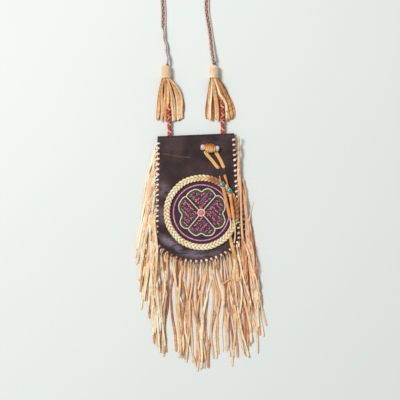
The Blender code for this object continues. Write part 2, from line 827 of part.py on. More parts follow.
def build_bead(side, thong, material, where):
    """A bead with a rounded outer side, threaded on its thong."""
    half = BEAD_RADIUS * BEAD_SHARE
    shoulder = mix(BORE_RADIUS, BEAD_RADIUS, 0.6)
    profile = [(BORE_RADIUS, half), (shoulder, half), (BEAD_RADIUS, half / 2), (BEAD_RADIUS, -half / 2),
               (shoulder, -half), (BORE_RADIUS, -half), (BORE_RADIUS, half)]
    bead = turned(f"bead_{side}", profile, 10, material, where)
    centre = Vector((*thong["bead"], TUBE_Z))
    way = Vector((*thong["tube"][0], TUBE_Z)) - centre
    lay_along(bead, centre - way / 2, centre + way / 2)


def build_tube(side, thong, material, where):
    start = Vector((*thong["tube"][0], TUBE_Z))
    end = Vector((*thong["tube"][1], TUBE_Z))
    half = (end - start).length / 2
    profile = [(BORE_RADIUS, half), (TUBE_RADIUS, half), (TUBE_RADIUS, -half), (BORE_RADIUS, -half),
               (BORE_RADIUS, half)]
    lay_along(turned(f"tube_{side}", profile, 10, material, where), start, end)


def build_drop(side, drop, material, where):
    """A braided drop from inside its tassel's cap to inside the top fold."""
    start = Vector((drop["hole_x"], POUCH_TOP + FOLD_RADIUS - LEATHER - GAP, FOLD_RADIUS))
    end = cap_matrix(drop) @ Vector((0, 0, SKIRT_HEADER + 2 * DROP_RADIUS))
    way = end - start
    turn = Vector((0, 0, 1)).rotation_difference(way.normalized())
    sections = []
    for k in range(DROP_STEPS + 1):
        share = k / DROP_STEPS
        section = []
        for i in range(6):
            angle = math.pi / 3 * i
            radius = DROP_RADIUS + (DROP_LOBE if i % 2 else -DROP_LOBE)
            twist = 2 * math.pi * way.length * share / (3 * DROP_PITCH)
            local = Vector((radius * math.cos(angle + twist), radius * math.sin(angle + twist), 0))
            section.append(start + way * share + turn @ local)
        sections.append(section)
    name = f"drop_{side}"
    add_object(name, loft(name, sections), material, where)


def build_knot(name, centre, material, where):
    bpy.ops.mesh.primitive_uv_sphere_add(segments=8, ring_count=5, radius=KNOT_RADIUS, location=centre)
    knot = bpy.context.object
    knot.name = name
    knot.data.materials.append(material)
    knot.data.shade_smooth()
    for holder in knot.users_collection:
        holder.objects.unlink(knot)
    where.objects.link(knot)


def cap_matrix(drop):
    """From a cap's own frame, +Z toward the strap, to its place on the floor."""
    lying = Matrix.Rotation(CAP_TURN, 4, "Z") @ Matrix.Rotation(-math.pi / 2, 4, "X")
    return Matrix.Translation(Vector((*drop["cap"], CAP_RADIUS))) @ lying


def build_cap(side, drop, material, where):
    inner = CAP_RADIUS - CAP_WALL
    neck = CAP_LENGTH - CAP_SHOULDER
    roof = neck - CAP_WALL
    profile = [(0, CAP_LENGTH), (CAP_TOP_RADIUS, CAP_LENGTH), (CAP_NECK_RADIUS, neck),
               (CAP_RADIUS, SKIRT_HEADER), (CAP_RADIUS, 0), (inner, 0),
               (inner, SKIRT_HEADER), (CAP_NECK_RADIUS - CAP_WALL, roof), (0, roof)]
    cap = turned(f"tassel_cap_{side}", profile, CAP_STEPS, material, where)
    cap.matrix_world = cap_matrix(drop)


def build_skirt(side, drop, material, where):
    """The cut strips of a tassel: a band rolled up in the cap, and strips spread on the floor."""
    ring = (CAP_RADIUS - CAP_WALL) * math.cos(math.pi / CAP_STEPS) - GAP
    pitch = 2 * (math.pi - SKIRT_PARTING) / SKIRT_STRIPS
    strips = []
    for k in range(SKIRT_STRIPS):
        middle = SKIRT_PARTING + pitch * (k + 0.5)
        strips.append((middle - pitch * STRIP_SHARE / 2, middle + pitch * STRIP_SHARE / 2, k))
    angles = [0.0] + [a for first, last, _ in strips for a in (first, last)]
    rows = [(SKIRT_HEADER, 0), (-GAP, 0), (-SKIRT_FLARE[0], SKIRT_FLARE[1]), (-SKIRT_LENGTH, 1)]

    def place(angle, height, spread):
        wide = mix(ring, SKIRT_HALF_WIDTH, spread)
        tall = mix(ring, SKIRT_HALF_HEIGHT, spread)
        across = wide * math.sin(angle) + drop["skirt_lean"] * spread
        return (across, -tall * math.cos(angle) + (CAP_RADIUS - tall) * spread, height)

    points = [place(a, *rows[0]) for a in angles]
    points += [place(a, *rows[1]) for a in angles]
    count = len(angles)
    faces = []
    for k in range(count):
        after = (k + 1) % count
        faces.append((k, count + k, count + after, after))
    for first, last, k in strips:
        near = (count + 1 + 2 * k, count + 2 + 2 * k)
        for step, (height, spread) in enumerate(rows[2:]):
            if step:
                height -= SKIRT_VARIES * math.sin(2.2 * k + len(side))
            start = len(points)
            points += [place(first, height, spread), place(last, height, spread)]
            faces.append((near[0], start, start + 1, near[1]))
            near = (start, start + 1)
    name = f"tassel_skirt_{side}"
    made = add_object(name, mesh_from(name, points, faces), material, where)
    made.matrix_world = cap_matrix(drop)
    modifier = made.modifiers.new("leather", "SOLIDIFY")
    modifier.thickness = SKIRT_THICK
    modifier.offset = -1
    modifier.use_even_offset = True


def flap_hinge_y():
    """The middle of the narrow opening between the flap's top edge and the end of the fold."""
    return POUCH_TOP - HINGE_GAP / 2


def build_coil(material, where):
    """The outer shape of the strap's coiled middle."""
    low = FLOOR_GAP
    high = low + COIL_HEIGHT
    profile = [(COIL_HOLE, high), (COIL_RADIUS - COIL_EDGE, high), (COIL_RADIUS, high - COIL_EDGE),
               (COIL_RADIUS, low), (COIL_HOLE, low), (COIL_HOLE, high)]
    turned("strap_coil", profile, 24, material, where).location = (*COIL_CENTRE, 0)


def hang_flap(where):
    """Parents the flap and all that it carries to an empty on its hinge line, in their places."""
    hinge = bpy.data.objects.new("flap_hinge", None)
    hinge.location = (0, flap_hinge_y(), FLAP_TOP_Z)
    where.objects.link(hinge)
    bpy.context.view_layer.update()
    for piece in [thing for thing in where.objects if thing.name.startswith(FLAP_PIECES)]:
        kept = piece.matrix_world.copy()
        piece.parent = hinge
        piece.matrix_parent_inverse = hinge.matrix_world.inverted()
        piece.matrix_world = kept


def main():
    clear_scene()
    parts = new_collection("tassel_bag")
    cutters = new_collection("cutters")
    dark = leather("dark_leather", (0.045, 0.028, 0.028), 0.55)
    cream = leather("cream_lace", (0.72, 0.52, 0.36))
    tan = leather("tan_leather", (0.62, 0.36, 0.18))
    golden = leather("golden_leather", (0.60, 0.33, 0.10), 0.5)
    red = leather("red_braid", (0.30, 0.09, 0.05), 0.6)
    taupe = leather("strap_braid", (0.30, 0.22, 0.20), 0.8)
    bone = leather("bone", (0.80, 0.72, 0.60), 0.4)
    cloth = leather("embroidered_cloth", (0.10, 0.03, 0.05), 0.9)
    stone = leather("turquoise_bead", (0.10, 0.45, 0.45), 0.3)

    halves = (POUCH_TOP_HALF, POUCH_LOW_HALF)
    back_edge = Edge(POUCH_TOP, POUCH_BOTTOM, halves, POUCH_CENTRE, POUCH_LEAN)
    front_edge = Edge(POUCH_TOP - MOUTH_WIDTH, POUCH_BOTTOM, halves, POUCH_CENTRE, POUCH_LEAN)
    flap_halves = (FLAP_TOP_HALF, FLAP_LOW_HALF)
    flap_edge = Edge(POUCH_TOP - HINGE_GAP, FLAP_BOTTOM, flap_halves, FLAP_CENTRE, FLAP_LEAN)
    pouch_seam = Seam(back_edge, SEAM_START, POUCH_STITCH)
    flap_seam = Seam(flap_edge, FLAP_LACE_START, FLAP_STITCH)

    build_back(back_edge, pouch_seam, dark, parts, cutters)
    build_front(front_edge, pouch_seam, dark, parts, cutters)
    build_flap(flap_edge, flap_seam, dark, parts)
    spiral_lace("pouch_lacing", pouch_seam, BACK_RIM_Z - GAP, POUCH_LACE_TOP - LACE_THICK, cream, parts)
    spiral_lace("flap_lacing", flap_seam, FLAP_HEADER_Z - GAP, FLAP_TOP_Z + GAP, cream, parts)

    floor_low = FLOOR_GAP
    floor_high = floor_low + FRINGE_THICK + LAYER_GAP / 2
    over_lace = POUCH_LACE_TOP + GAP + LACE_THICK
    build_fringe("pouch_fringe", pouch_seam, POUCH_HEADER_Z, lambda place: floor_low, POUCH_FRINGE,
                 tan, parts)

    def flap_height(place):
        clear = back_edge.outside(place) - STRAND_WIDTH / 2 - LACE_THICK - 2 * GAP
        return mix(over_lace + LAYER_GAP, floor_high, smooth_step(clear / LAND_WIDTH))

    build_fringe("flap_fringe", flap_seam, FLAP_HEADER_Z, flap_height, FLAP_FRINGE, tan, parts)

    build_medallion(cloth, parts)
    build_braid(cream, parts)
    build_toggle(bone, golden, parts)
    for side, thong in THONGS.items():
        build_leg(side, thong, golden, parts)
        build_thong(side, thong, golden, parts)
        build_bead(side, thong, stone, parts)
        build_tube(side, thong, golden, parts)

    for side, drop in DROPS.items():
        build_drop(side, drop, red, parts)
        fold_inner = POUCH_TOP + FOLD_RADIUS - LEATHER
        build_knot(f"drop_knot_{side}", (drop["hole_x"], fold_inner - 2 * GAP - KNOT_RADIUS, FOLD_RADIUS),
                   red, parts)
        build_cap(side, drop, tan, parts)
        build_skirt(side, drop, tan, parts)
        top = cap_matrix(drop) @ Vector((0, 0, CAP_LENGTH + GAP + KNOT_RADIUS))
        build_knot(f"strap_knot_{side}", top, taupe, parts)
        start = cap_matrix(drop) @ Vector((0, 0, CAP_LENGTH + 2 * GAP + 2 * KNOT_RADIUS))
        route = smooth_route([start, *STRAP_ROUTES[side]], 2.5 * STRAP_WIDTH)
        tube(f"strap_{side}", route, STRAP_WIDTH / 2, taupe, parts)
    build_coil(taupe, parts)
    hang_flap(parts)


main()
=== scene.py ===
# Tassel bag lying on a pale table, seen from straight above
# Lengths are in metres, X to the right, Y up the bag and Z up from the table
import json
import math
import random

import bpy
import numpy as np
from mathutils import Matrix, Vector, noise
from mathutils.geometry import delaunay_2d_cdt
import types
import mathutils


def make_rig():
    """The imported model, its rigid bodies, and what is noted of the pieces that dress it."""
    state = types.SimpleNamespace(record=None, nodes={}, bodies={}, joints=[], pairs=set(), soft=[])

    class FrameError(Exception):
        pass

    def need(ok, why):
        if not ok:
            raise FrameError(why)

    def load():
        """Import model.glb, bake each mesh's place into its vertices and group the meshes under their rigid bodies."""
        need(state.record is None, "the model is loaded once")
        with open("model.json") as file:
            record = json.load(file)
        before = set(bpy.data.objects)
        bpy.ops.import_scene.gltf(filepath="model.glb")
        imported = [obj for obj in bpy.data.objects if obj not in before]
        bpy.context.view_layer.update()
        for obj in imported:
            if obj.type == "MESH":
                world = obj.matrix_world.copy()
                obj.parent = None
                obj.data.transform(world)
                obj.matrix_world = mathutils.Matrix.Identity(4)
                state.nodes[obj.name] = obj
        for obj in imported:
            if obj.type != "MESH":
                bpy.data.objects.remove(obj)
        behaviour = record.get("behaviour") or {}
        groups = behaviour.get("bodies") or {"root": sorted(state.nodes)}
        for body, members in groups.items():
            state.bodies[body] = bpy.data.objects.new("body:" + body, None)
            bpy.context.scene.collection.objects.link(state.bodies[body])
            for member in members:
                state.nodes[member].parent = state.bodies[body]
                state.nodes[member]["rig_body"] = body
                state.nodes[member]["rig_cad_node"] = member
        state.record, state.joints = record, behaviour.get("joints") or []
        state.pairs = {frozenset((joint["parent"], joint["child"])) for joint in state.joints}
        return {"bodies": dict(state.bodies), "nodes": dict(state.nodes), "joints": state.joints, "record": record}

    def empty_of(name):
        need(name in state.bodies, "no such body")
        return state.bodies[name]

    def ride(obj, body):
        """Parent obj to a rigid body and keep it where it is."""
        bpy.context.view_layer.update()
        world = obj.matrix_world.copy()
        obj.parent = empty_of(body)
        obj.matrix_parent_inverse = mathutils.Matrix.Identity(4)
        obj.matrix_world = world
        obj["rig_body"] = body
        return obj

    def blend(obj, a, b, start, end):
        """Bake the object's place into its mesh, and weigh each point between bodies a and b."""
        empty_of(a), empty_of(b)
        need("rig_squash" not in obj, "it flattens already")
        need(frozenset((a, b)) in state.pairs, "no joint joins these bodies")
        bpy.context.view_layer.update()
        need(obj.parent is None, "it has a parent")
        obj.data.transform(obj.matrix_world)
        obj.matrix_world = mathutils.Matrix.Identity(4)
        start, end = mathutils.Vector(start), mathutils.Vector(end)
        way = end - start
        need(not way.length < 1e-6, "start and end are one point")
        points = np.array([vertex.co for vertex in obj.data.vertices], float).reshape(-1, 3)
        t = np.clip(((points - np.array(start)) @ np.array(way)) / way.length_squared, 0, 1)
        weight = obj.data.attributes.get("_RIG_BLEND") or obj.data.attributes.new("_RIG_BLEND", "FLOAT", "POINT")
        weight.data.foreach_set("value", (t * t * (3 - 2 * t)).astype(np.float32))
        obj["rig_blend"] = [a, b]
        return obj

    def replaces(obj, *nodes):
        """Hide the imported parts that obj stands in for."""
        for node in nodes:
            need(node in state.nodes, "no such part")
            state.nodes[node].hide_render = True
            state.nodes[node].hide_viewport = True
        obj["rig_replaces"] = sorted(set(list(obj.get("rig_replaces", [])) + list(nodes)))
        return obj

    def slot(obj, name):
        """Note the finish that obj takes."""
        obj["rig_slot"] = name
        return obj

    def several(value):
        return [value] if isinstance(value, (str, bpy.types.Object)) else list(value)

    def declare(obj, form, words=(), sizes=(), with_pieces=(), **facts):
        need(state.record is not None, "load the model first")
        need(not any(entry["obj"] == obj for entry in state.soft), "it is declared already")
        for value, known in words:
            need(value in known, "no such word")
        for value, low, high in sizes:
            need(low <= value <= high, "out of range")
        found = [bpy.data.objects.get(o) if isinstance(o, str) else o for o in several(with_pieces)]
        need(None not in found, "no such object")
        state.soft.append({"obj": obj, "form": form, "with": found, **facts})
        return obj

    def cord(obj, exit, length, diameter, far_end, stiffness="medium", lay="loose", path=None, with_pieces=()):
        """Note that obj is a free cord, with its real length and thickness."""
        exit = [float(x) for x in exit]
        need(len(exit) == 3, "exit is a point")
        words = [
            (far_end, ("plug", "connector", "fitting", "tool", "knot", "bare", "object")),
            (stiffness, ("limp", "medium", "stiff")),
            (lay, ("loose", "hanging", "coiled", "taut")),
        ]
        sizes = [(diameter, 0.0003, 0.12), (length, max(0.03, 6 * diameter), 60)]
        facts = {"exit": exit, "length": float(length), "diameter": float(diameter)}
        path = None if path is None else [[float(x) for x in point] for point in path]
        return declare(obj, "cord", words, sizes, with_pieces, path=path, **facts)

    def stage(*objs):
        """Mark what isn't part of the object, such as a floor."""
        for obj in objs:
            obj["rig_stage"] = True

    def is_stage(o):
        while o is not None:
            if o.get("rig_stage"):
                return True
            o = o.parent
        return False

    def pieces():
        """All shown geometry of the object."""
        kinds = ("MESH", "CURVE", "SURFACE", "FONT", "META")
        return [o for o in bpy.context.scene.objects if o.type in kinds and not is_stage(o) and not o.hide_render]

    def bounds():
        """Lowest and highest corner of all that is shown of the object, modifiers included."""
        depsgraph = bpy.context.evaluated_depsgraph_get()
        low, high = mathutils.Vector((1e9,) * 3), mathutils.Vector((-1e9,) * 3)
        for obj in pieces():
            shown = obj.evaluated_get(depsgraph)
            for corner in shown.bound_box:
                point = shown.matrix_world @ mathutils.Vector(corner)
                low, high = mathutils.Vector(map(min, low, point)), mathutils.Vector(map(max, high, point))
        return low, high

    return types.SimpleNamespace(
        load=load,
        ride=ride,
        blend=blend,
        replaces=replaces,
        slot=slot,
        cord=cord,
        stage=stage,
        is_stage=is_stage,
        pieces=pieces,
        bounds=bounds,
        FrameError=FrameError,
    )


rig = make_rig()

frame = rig.load()
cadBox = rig.bounds()
print("Frame loaded:", len(frame["nodes"]), "solids")

up = Vector((0, 0, 1))


# Small helpers

def mix(low, high, share):
    return low + (high - low) * share


def clamp(value):
    return min(max(value, 0), 1)


def smoothStep(share):
    share = clamp(share)
    return share * share * (3 - 2 * share)


def eased(low, high, share):
    return mix(low, high, smoothStep(share))


def polar(angle, radius=1.0):
    return radius * math.cos(angle), radius * math.sin(angle)


def raised(point, height=0):
    # a place on the table or bag at a height
    return Vector((point[0], point[1], height))


def slow(x, y, scale, seed=0.0):
    # smooth noise from -1 to 1
    return noise.noise(Vector((x * scale, y * scale, seed)))


def screenColour(red, green, blue):
    # screen values from 0 to 255, as Blender's linear colour
    def linear(value):
        value /= 255
        return value / 12.92 if value <= 0.04045 else ((value + 0.055) / 1.055) ** 2.4
    return (linear(red), linear(green), linear(blue), 1)


def walkedLengths(points):
    # how far along a line each of its points lies
    walked = [0.0]
    for a, b in zip(points, points[1:]):
        walked.append(walked[-1] + (b - a).length)
    return walked


def smoothLine(places, spacing):
    # points about a spacing apart on a smooth curve through the given places
    parts = 24
    route = [Vector(p) for p in places]
    route = [2 * route[0] - route[1], *route, 2 * route[-1] - route[-2]]
    fine = []
    for a, b, c, d in zip(route, route[1:], route[2:], route[3:]):
        for k in range(parts):
            t = k / parts
            fine.append(0.5 * (2 * b + (c - a) * t + (2 * a - 5 * b + 4 * c - d) * t * t
                               + (3 * b - a - 3 * c + d) * t ** 3))
    fine.append(route[-2])
    walked = walkedLengths(fine)
    marks = np.linspace(0, walked[-1], max(2, round(walked[-1] / spacing)) + 1)
    table = np.array([tuple(p) for p in fine])
    columns = [np.interp(marks, walked, table[:, k]) for k in range(table.shape[1])]
    return [Vector(p) for p in zip(*columns)]


def looped(ring):
    # each corner of a closed ring with the next one
    return zip(ring, [*ring[1:], ring[0]])


def tangents(points, closed=False):
    last = len(points) - 1
    made = []
    for k in range(len(points)):
        before = points[k - 1] if closed or k else points[0]
        after = points[(k + 1) % len(points)] if closed or k < last else points[-1]
        made.append((after - before).normalized())
    return made


def squareTo(direction, along):
    return (direction - along * direction.dot(along)).normalized()


def squared(facing, points, closed=False):
    # the nearest directions that are square to a path
    return [squareTo(f, t) for f, t in zip(facing, tangents(points, closed))]


def leaning(sides, points, angles):
    # straight up from a path, leant over toward its side by an angle at each point
    made = []
    for side, tangent, angle in zip(sides, tangents(points), angles):
        made.append((squareTo(up, tangent) * math.cos(angle) + side * math.sin(angle)).normalized())
    return made


def linked(made):
    bpy.context.scene.collection.objects.link(made)
    return made


def softened(mesh, degrees=40):
    mesh.shade_smooth()
    mesh.set_sharp_from_angle(angle=math.radians(degrees))


def settle(made, body, slotName, *nodes):
    # puts a finished piece on its body and over the solids that it stands for
    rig.ride(made, body)
    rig.slot(made, slotName)
    for node in nodes:
        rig.replaces(made, node)


def joined(name, *parts):
    # several meshes as one, with their materials and attributes
    bpy.ops.object.select_all(action="DESELECT")
    for part in parts:
        part.select_set(True)
    bpy.context.view_layer.objects.active = parts[0]
    bpy.ops.object.join()
    parts[0].name = name
    parts[0].data.name = name
    return parts[0]


# Node helpers

class Wire:
    # one output of a node, with short ways to make other nodes from it
    def __init__(self, node, output=0):
        self.node = node
        self.output = output

    def __getitem__(self, output):
        return Wire(self.node, output)

    def add(self, kind, inputs, **settings):
        return addNode(self.node.id_data, kind, inputs, **settings)

    def maths(self, operation, other=0.0, clamped=False):
        return self.add("ShaderNodeMath", {0: self, 1: other}, operation=operation, use_clamp=clamped)

    def __add__(self, other):
        return self.maths("ADD", other)

    def __sub__(self, other):
        return self.maths("SUBTRACT", other)

    def __mul__(self, other):
        return self.maths("MULTIPLY", other)

    def __rsub__(self, other):
        return self.add("ShaderNodeMath", {0: other, 1: self}, operation="SUBTRACT")

    def __abs__(self):
        return self.maths("ABSOLUTE")

    def between(self, low, high, toLow=0.0, toHigh=1.0):
        return self.add("ShaderNodeMapRange", {0: self, 1: low, 2: high, 3: toLow, 4: toHigh},
                        interpolation_type="SMOOTHSTEP")

    def colours(self, low, high, blend="MIX"):
        # from one colour or colour wire to another
        low, high = (screenColour(*c) if isinstance(c, tuple) else c for c in (low, high))
        return self.add("ShaderNodeMix", {0: self, 6: low, 7: high}, data_type="RGBA", blend_type=blend)[2]

    def ramp(self, stops):
        made = self.add("ShaderNodeValToRGB", {0: self})
        band = made.node.color_ramp
        while len(band.elements) < len(stops):
            band.elements.new(1)
        for element, (place, shade) in zip(band.elements, stops):
            element.position = place
            element.color = screenColour(*shade)
        return made

    def vectors(self, operation, inputs, output=0):
        return self.add("ShaderNodeVectorMath", {0: self, **inputs}, operation=operation)[output]

    def noise(self, scale, detail, roughness=0.5):
        return self.add("ShaderNodeTexNoise", {"Vector": self, "Scale": scale, "Detail": detail,
                                               "Roughness": roughness})

    def cells(self, scale):
        return self.add("ShaderNodeTexVoronoi", {"Vector": self, "Scale": scale}, feature="DISTANCE_TO_EDGE")

    def mapped(self, vectorType="POINT", **inputs):
        return self.add("ShaderNodeMapping", {"Vector": self, **inputs}, vector_type=vectorType)


def setInputs(node, inputs):
    for name, value in inputs.items():
        if isinstance(value, Wire):
            node.id_data.links.new(value.node.outputs[value.output], node.inputs[name])
        else:
            node.inputs[name].default_value = value


def addNode(tree, kind, inputs=None, **settings):
    node = tree.nodes.new(kind)
    for name, value in settings.items():
        setattr(node, name, value)
    setInputs(node, inputs or {})
    return Wire(node)


def newGroup(name, kind, inputs, outputs, outputType):
    # a node group with named sockets, each input with its type and its default value
    tree = bpy.data.node_groups.new(name, kind)
    for label, (socketType, value) in inputs.items():
        socket = tree.interface.new_socket(name=label, in_out="INPUT", socket_type="NodeSocket" + socketType)
        if value is not None:
            socket.default_value = value
    for label in outputs:
        tree.interface.new_socket(name=label, in_out="OUTPUT", socket_type="NodeSocket" + outputType)
    return tree, addNode(tree, "NodeGroupInput")


def readAttribute(tree, name, output="Fac"):
    return addNode(tree, "ShaderNodeAttribute", attribute_name=name)[output]


def ownPlace(tree):
    return addNode(tree, "ShaderNodeTexCoord")["Object"]


# Effects that several finishes share

def makeGrain():
    # leather grain: pores and fine creases as a height, and slow patches as a shade
    tree, given = newGroup(
        "leatherGrain", "ShaderNodeTree",
        {"Vector": ("Vector", None), "Pores": ("Float", 900.0), "Creases": ("Float", 160.0),
         "Patches": ("Float", 22.0)}, ("Height", "Patch", "Fleck"), "Float")
    where = given["Vector"]
    shifted = where.noise(210.0, 2.0)["Color"].vectors("MULTIPLY", {1: (0.002, 0.002, 0.002)})
    pores = where.vectors("ADD", {1: shifted}).cells(given["Pores"]).between(0.02, 0.3)
    ridges = abs(where.noise(given["Creases"], 5.0, 0.6) - 0.5)
    patches = where.noise(given["Patches"], 4.0, 0.55)
    addNode(tree, "NodeGroupOutput", {"Height": pores * 0.35 + ridges.between(0.0, 0.12),
                                      "Patch": patches.between(0.35, 0.68), "Fleck": 1.0 - pores})
    return tree


def makeFibres():
    # streaks that run along a cut strip, from its own measures along and across
    tree, given = newGroup(
        "stripFibres", "ShaderNodeTree",
        {"Along": ("Float", 0.0), "Across": ("Float", 0.0), "Tone": ("Float", 0.5),
         "Stretch": ("Float", 60.0)}, ("Streak", "Blotch", "Rim"), "Float")
    along, across, tone = given["Along"], given["Across"], given["Tone"]
    place = addNode(tree, "ShaderNodeCombineXYZ", {
        0: along * given["Stretch"], 1: across * 2.6, 2: tone * 83.0})
    coarse = addNode(tree, "ShaderNodeCombineXYZ", {0: along * 26.0, 1: tone * 51.0})
    # Rim darkens both edges of a strip: partly the cut edge's own colour, partly painted shade between strips
    addNode(tree, "NodeGroupOutput", {"Streak": place.noise(1.6, 3.0).between(0.3, 0.7),
                                      "Blotch": coarse.noise(1.0, 2.0).between(0.32, 0.66),
                                      "Rim": abs(across).between(0.55, 1.0)})
    return tree


leatherGrain = makeGrain()
stripFibres = makeFibres()


# Finishes

def newMaterial(name):
    material = bpy.data.materials.new(name)
    material.use_nodes = True
    return material, material.node_tree


def dressed(material, colour, roughness, height=None, bump=0.0, **more):
    # a material's colour, dullness and relief
    if height:
        more["Normal"] = height.add("ShaderNodeBump", {"Height": height, "Distance": bump})
    shader = material.node_tree.nodes["Principled BSDF"]
    setInputs(shader, {"Base Color": colour, "Roughness": roughness, **more})
    return material


def makeStripFinish(name, look):
    # split leather and lace: each strip has its own tone, with fibres along it and darker edges, partly the cut edge's
    # own colour and partly painted shade between strips
    material, tree = newMaterial(name)
    tone = readAttribute(tree, "tone")
    fibres = addNode(tree, "ShaderNodeGroup", {
        "Along": readAttribute(tree, "along"), "Across": readAttribute(tree, "across"), "Tone": tone,
        "Stretch": look["stretch"]}, node_tree=stripFibres)
    last = len(look["tones"]) - 1
    base = tone.maths("ADD", (fibres["Blotch"] - 0.5) * look["drift"], True).ramp(
        [(k / last, step) for k, step in enumerate(look["tones"])])
    streaked = (fibres["Streak"] * look["streaks"]).colours(base, look["streakColour"], "MULTIPLY")
    # painted shade: each strip's edges go toward rimColour, partly its cut edge and partly the shade between strips
    edged = (fibres["Rim"] * look["rim"]).colours(streaked, look["rimColour"])
    height = fibres["Streak"] + ownPlace(tree).noise(1400.0, 2.0) * 0.7
    return dressed(material, edged, look["roughness"], height, look["bump"])


def placeGrain(tree, where, look):
    # the shared grain, with its colour from dark to light in patches
    grain = addNode(tree, "ShaderNodeGroup", {
        "Vector": where, "Pores": look["pores"], "Creases": look["creases"], "Patches": look["patches"]},
        node_tree=leatherGrain)
    return grain, grain["Patch"].colours(look["dark"], look["light"])


def makeDarkLeather(name, look):
    # smooth dark leather with dull lighter patches, painted sheen spots that stand in for its reflection, and a fine
    # scratch
    material, tree = newMaterial(name)
    where = ownPlace(tree)
    grain, base = placeGrain(tree, where, look)
    clouds = where.noise(75.0, 5.0, 0.6)
    if look["sheens"]:
        # painted reflection: soft mauve-grey spots, streaked, lighten the leather where its sheen shows
        sheenMask = None
        for spot in look["sheens"]:
            placed = where.mapped("TEXTURE", Location=(*spot["at"], 0.0), Scale=(*spot["size"], 1000.0),
                                  Rotation=(0, 0, math.radians(spot["turn"])))
            away = placed.vectors("MULTIPLY", {1: (1, 1, 0)}).vectors("LENGTH", {}, "Value")
            share = away.between(1.0, 0.0) * spot["strength"]
            sheenMask = sheenMask.maths("MAXIMUM", share) if sheenMask else share
        streaks = where.mapped(Rotation=(0, 0, math.radians(35)), Scale=(1.0, 3.4, 1.0)).noise(60.0, 6.0, 0.6)
        base = (sheenMask * streaks.between(0.32, 0.6)).colours(base, look["sheenColour"])
        line = look["scratch"]
        parts = where.add("ShaderNodeSeparateXYZ", {0: where})
        run = parts - line["middle"]
        off = abs(parts[1] - (run * line["slope"] + line["height"] + run * run * line["bow"]))
        mark = off.between(line["width"], 0.0) * abs(run).between(line["reach"], line["reach"] * 0.7)
        base = (mark * clouds.between(0.25, 0.6)).colours(base, line["colour"])
    worn = readAttribute(tree, "edge") * clouds.between(0.3, 0.7)
    base = (worn * look["wear"]).colours(base, look["wearColour"])
    darker = (grain["Fleck"] * 0.35).colours(base, look["dark"], "MULTIPLY")
    dull = grain["Patch"] * -0.12 + (look["roughness"] + 0.06)
    return dressed(material, darker, dull, grain["Height"], look["bump"], **{"Specular IOR Level": 0.3})


def makeSkinFinish(name, look):
    # leather or bone with grain and patches but no strip measures
    material, tree = newMaterial(name)
    grain, base = placeGrain(tree, ownPlace(tree), look)
    flecked = (grain["Fleck"] * look["flecks"]).colours(base, look["fleckColour"])
    return dressed(material, flecked, look["roughness"], grain["Height"], look["bump"])


def stripLook(tones, drift, streaks, streakColour, rim, rimColour, stretch, roughness, bump):
    return {"tones": tones, "drift": drift, "streaks": streaks, "streakColour": streakColour, "rim": rim,
            "rimColour": rimColour, "stretch": stretch, "roughness": roughness, "bump": bump}


stripLooks = {
    "fringeLeft": stripLook(
        [(158, 94, 58), (214, 144, 96), (246, 196, 144), (255, 230, 184), (255, 250, 224)],
        0.16, 0.16, (228, 200, 172), 0.6, (188, 112, 72), 60.0, 0.8, 0.00025),
    "fringeRight": stripLook(
        [(134, 82, 58), (200, 132, 96), (239, 180, 134), (254, 214, 166), (255, 242, 212)],
        0.18, 0.18, (224, 184, 156), 0.62, (168, 88, 60), 60.0, 0.8, 0.00025),
    "tassel": stripLook(
        [(120, 66, 32), (180, 112, 62), (226, 164, 104), (252, 208, 150), (255, 238, 200)],
        0.2, 0.22, (216, 180, 144), 0.6, (160, 92, 50), 55.0, 0.8, 0.00028),
    "lace": stripLook(
        [(140, 76, 50), (230, 174, 148), (254, 224, 204), (255, 244, 232)],
        0.15, 0.2, (230, 196, 182), 0.4, (196, 124, 102), 90.0, 0.7, 0.00018),
    "ringLace": stripLook(
        [(176, 112, 70), (234, 190, 128), (255, 240, 190), (255, 253, 232)],
        0.2, 0.22, (226, 196, 150), 0.8, (136, 82, 42), 90.0, 0.6, 0.0002),
    "golden": stripLook(
        [(176, 88, 34), (222, 140, 64), (244, 186, 106), (255, 222, 154)],
        0.3, 0.25, (230, 188, 140), 0.5, (176, 96, 48), 80.0, 0.55, 0.0002),
    "redBraid": stripLook(
        [(112, 38, 28), (182, 70, 52), (228, 116, 88), (252, 190, 160)],
        0.3, 0.3, (226, 160, 136), 0.6, (92, 32, 24), 90.0, 0.5, 0.0002),
    "cordPale": stripLook(
        [(204, 176, 164), (230, 208, 196), (246, 230, 220)],
        0.25, 0.3, (206, 188, 180), 0.3, (180, 146, 138), 420.0, 0.85, 0.00015),
    "cordDark": stripLook(
        [(104, 72, 68), (156, 118, 108), (222, 190, 174)],
        0.3, 0.35, (176, 150, 146), 0.3, (66, 44, 48), 420.0, 0.85, 0.00015),
}
stripFinish = {name: makeStripFinish(name, look) for name, look in stripLooks.items()}


def grainLook(dark, light, roughness, bump, pores, creases, patches, **more):
    return {"dark": dark, "light": light, "roughness": roughness, "bump": bump, "pores": pores,
            "creases": creases, "patches": patches, **more}


def sheenSpot(x, y, wide, high, turn, strength):
    return {"at": (x, y), "size": (wide, high), "turn": turn, "strength": strength}


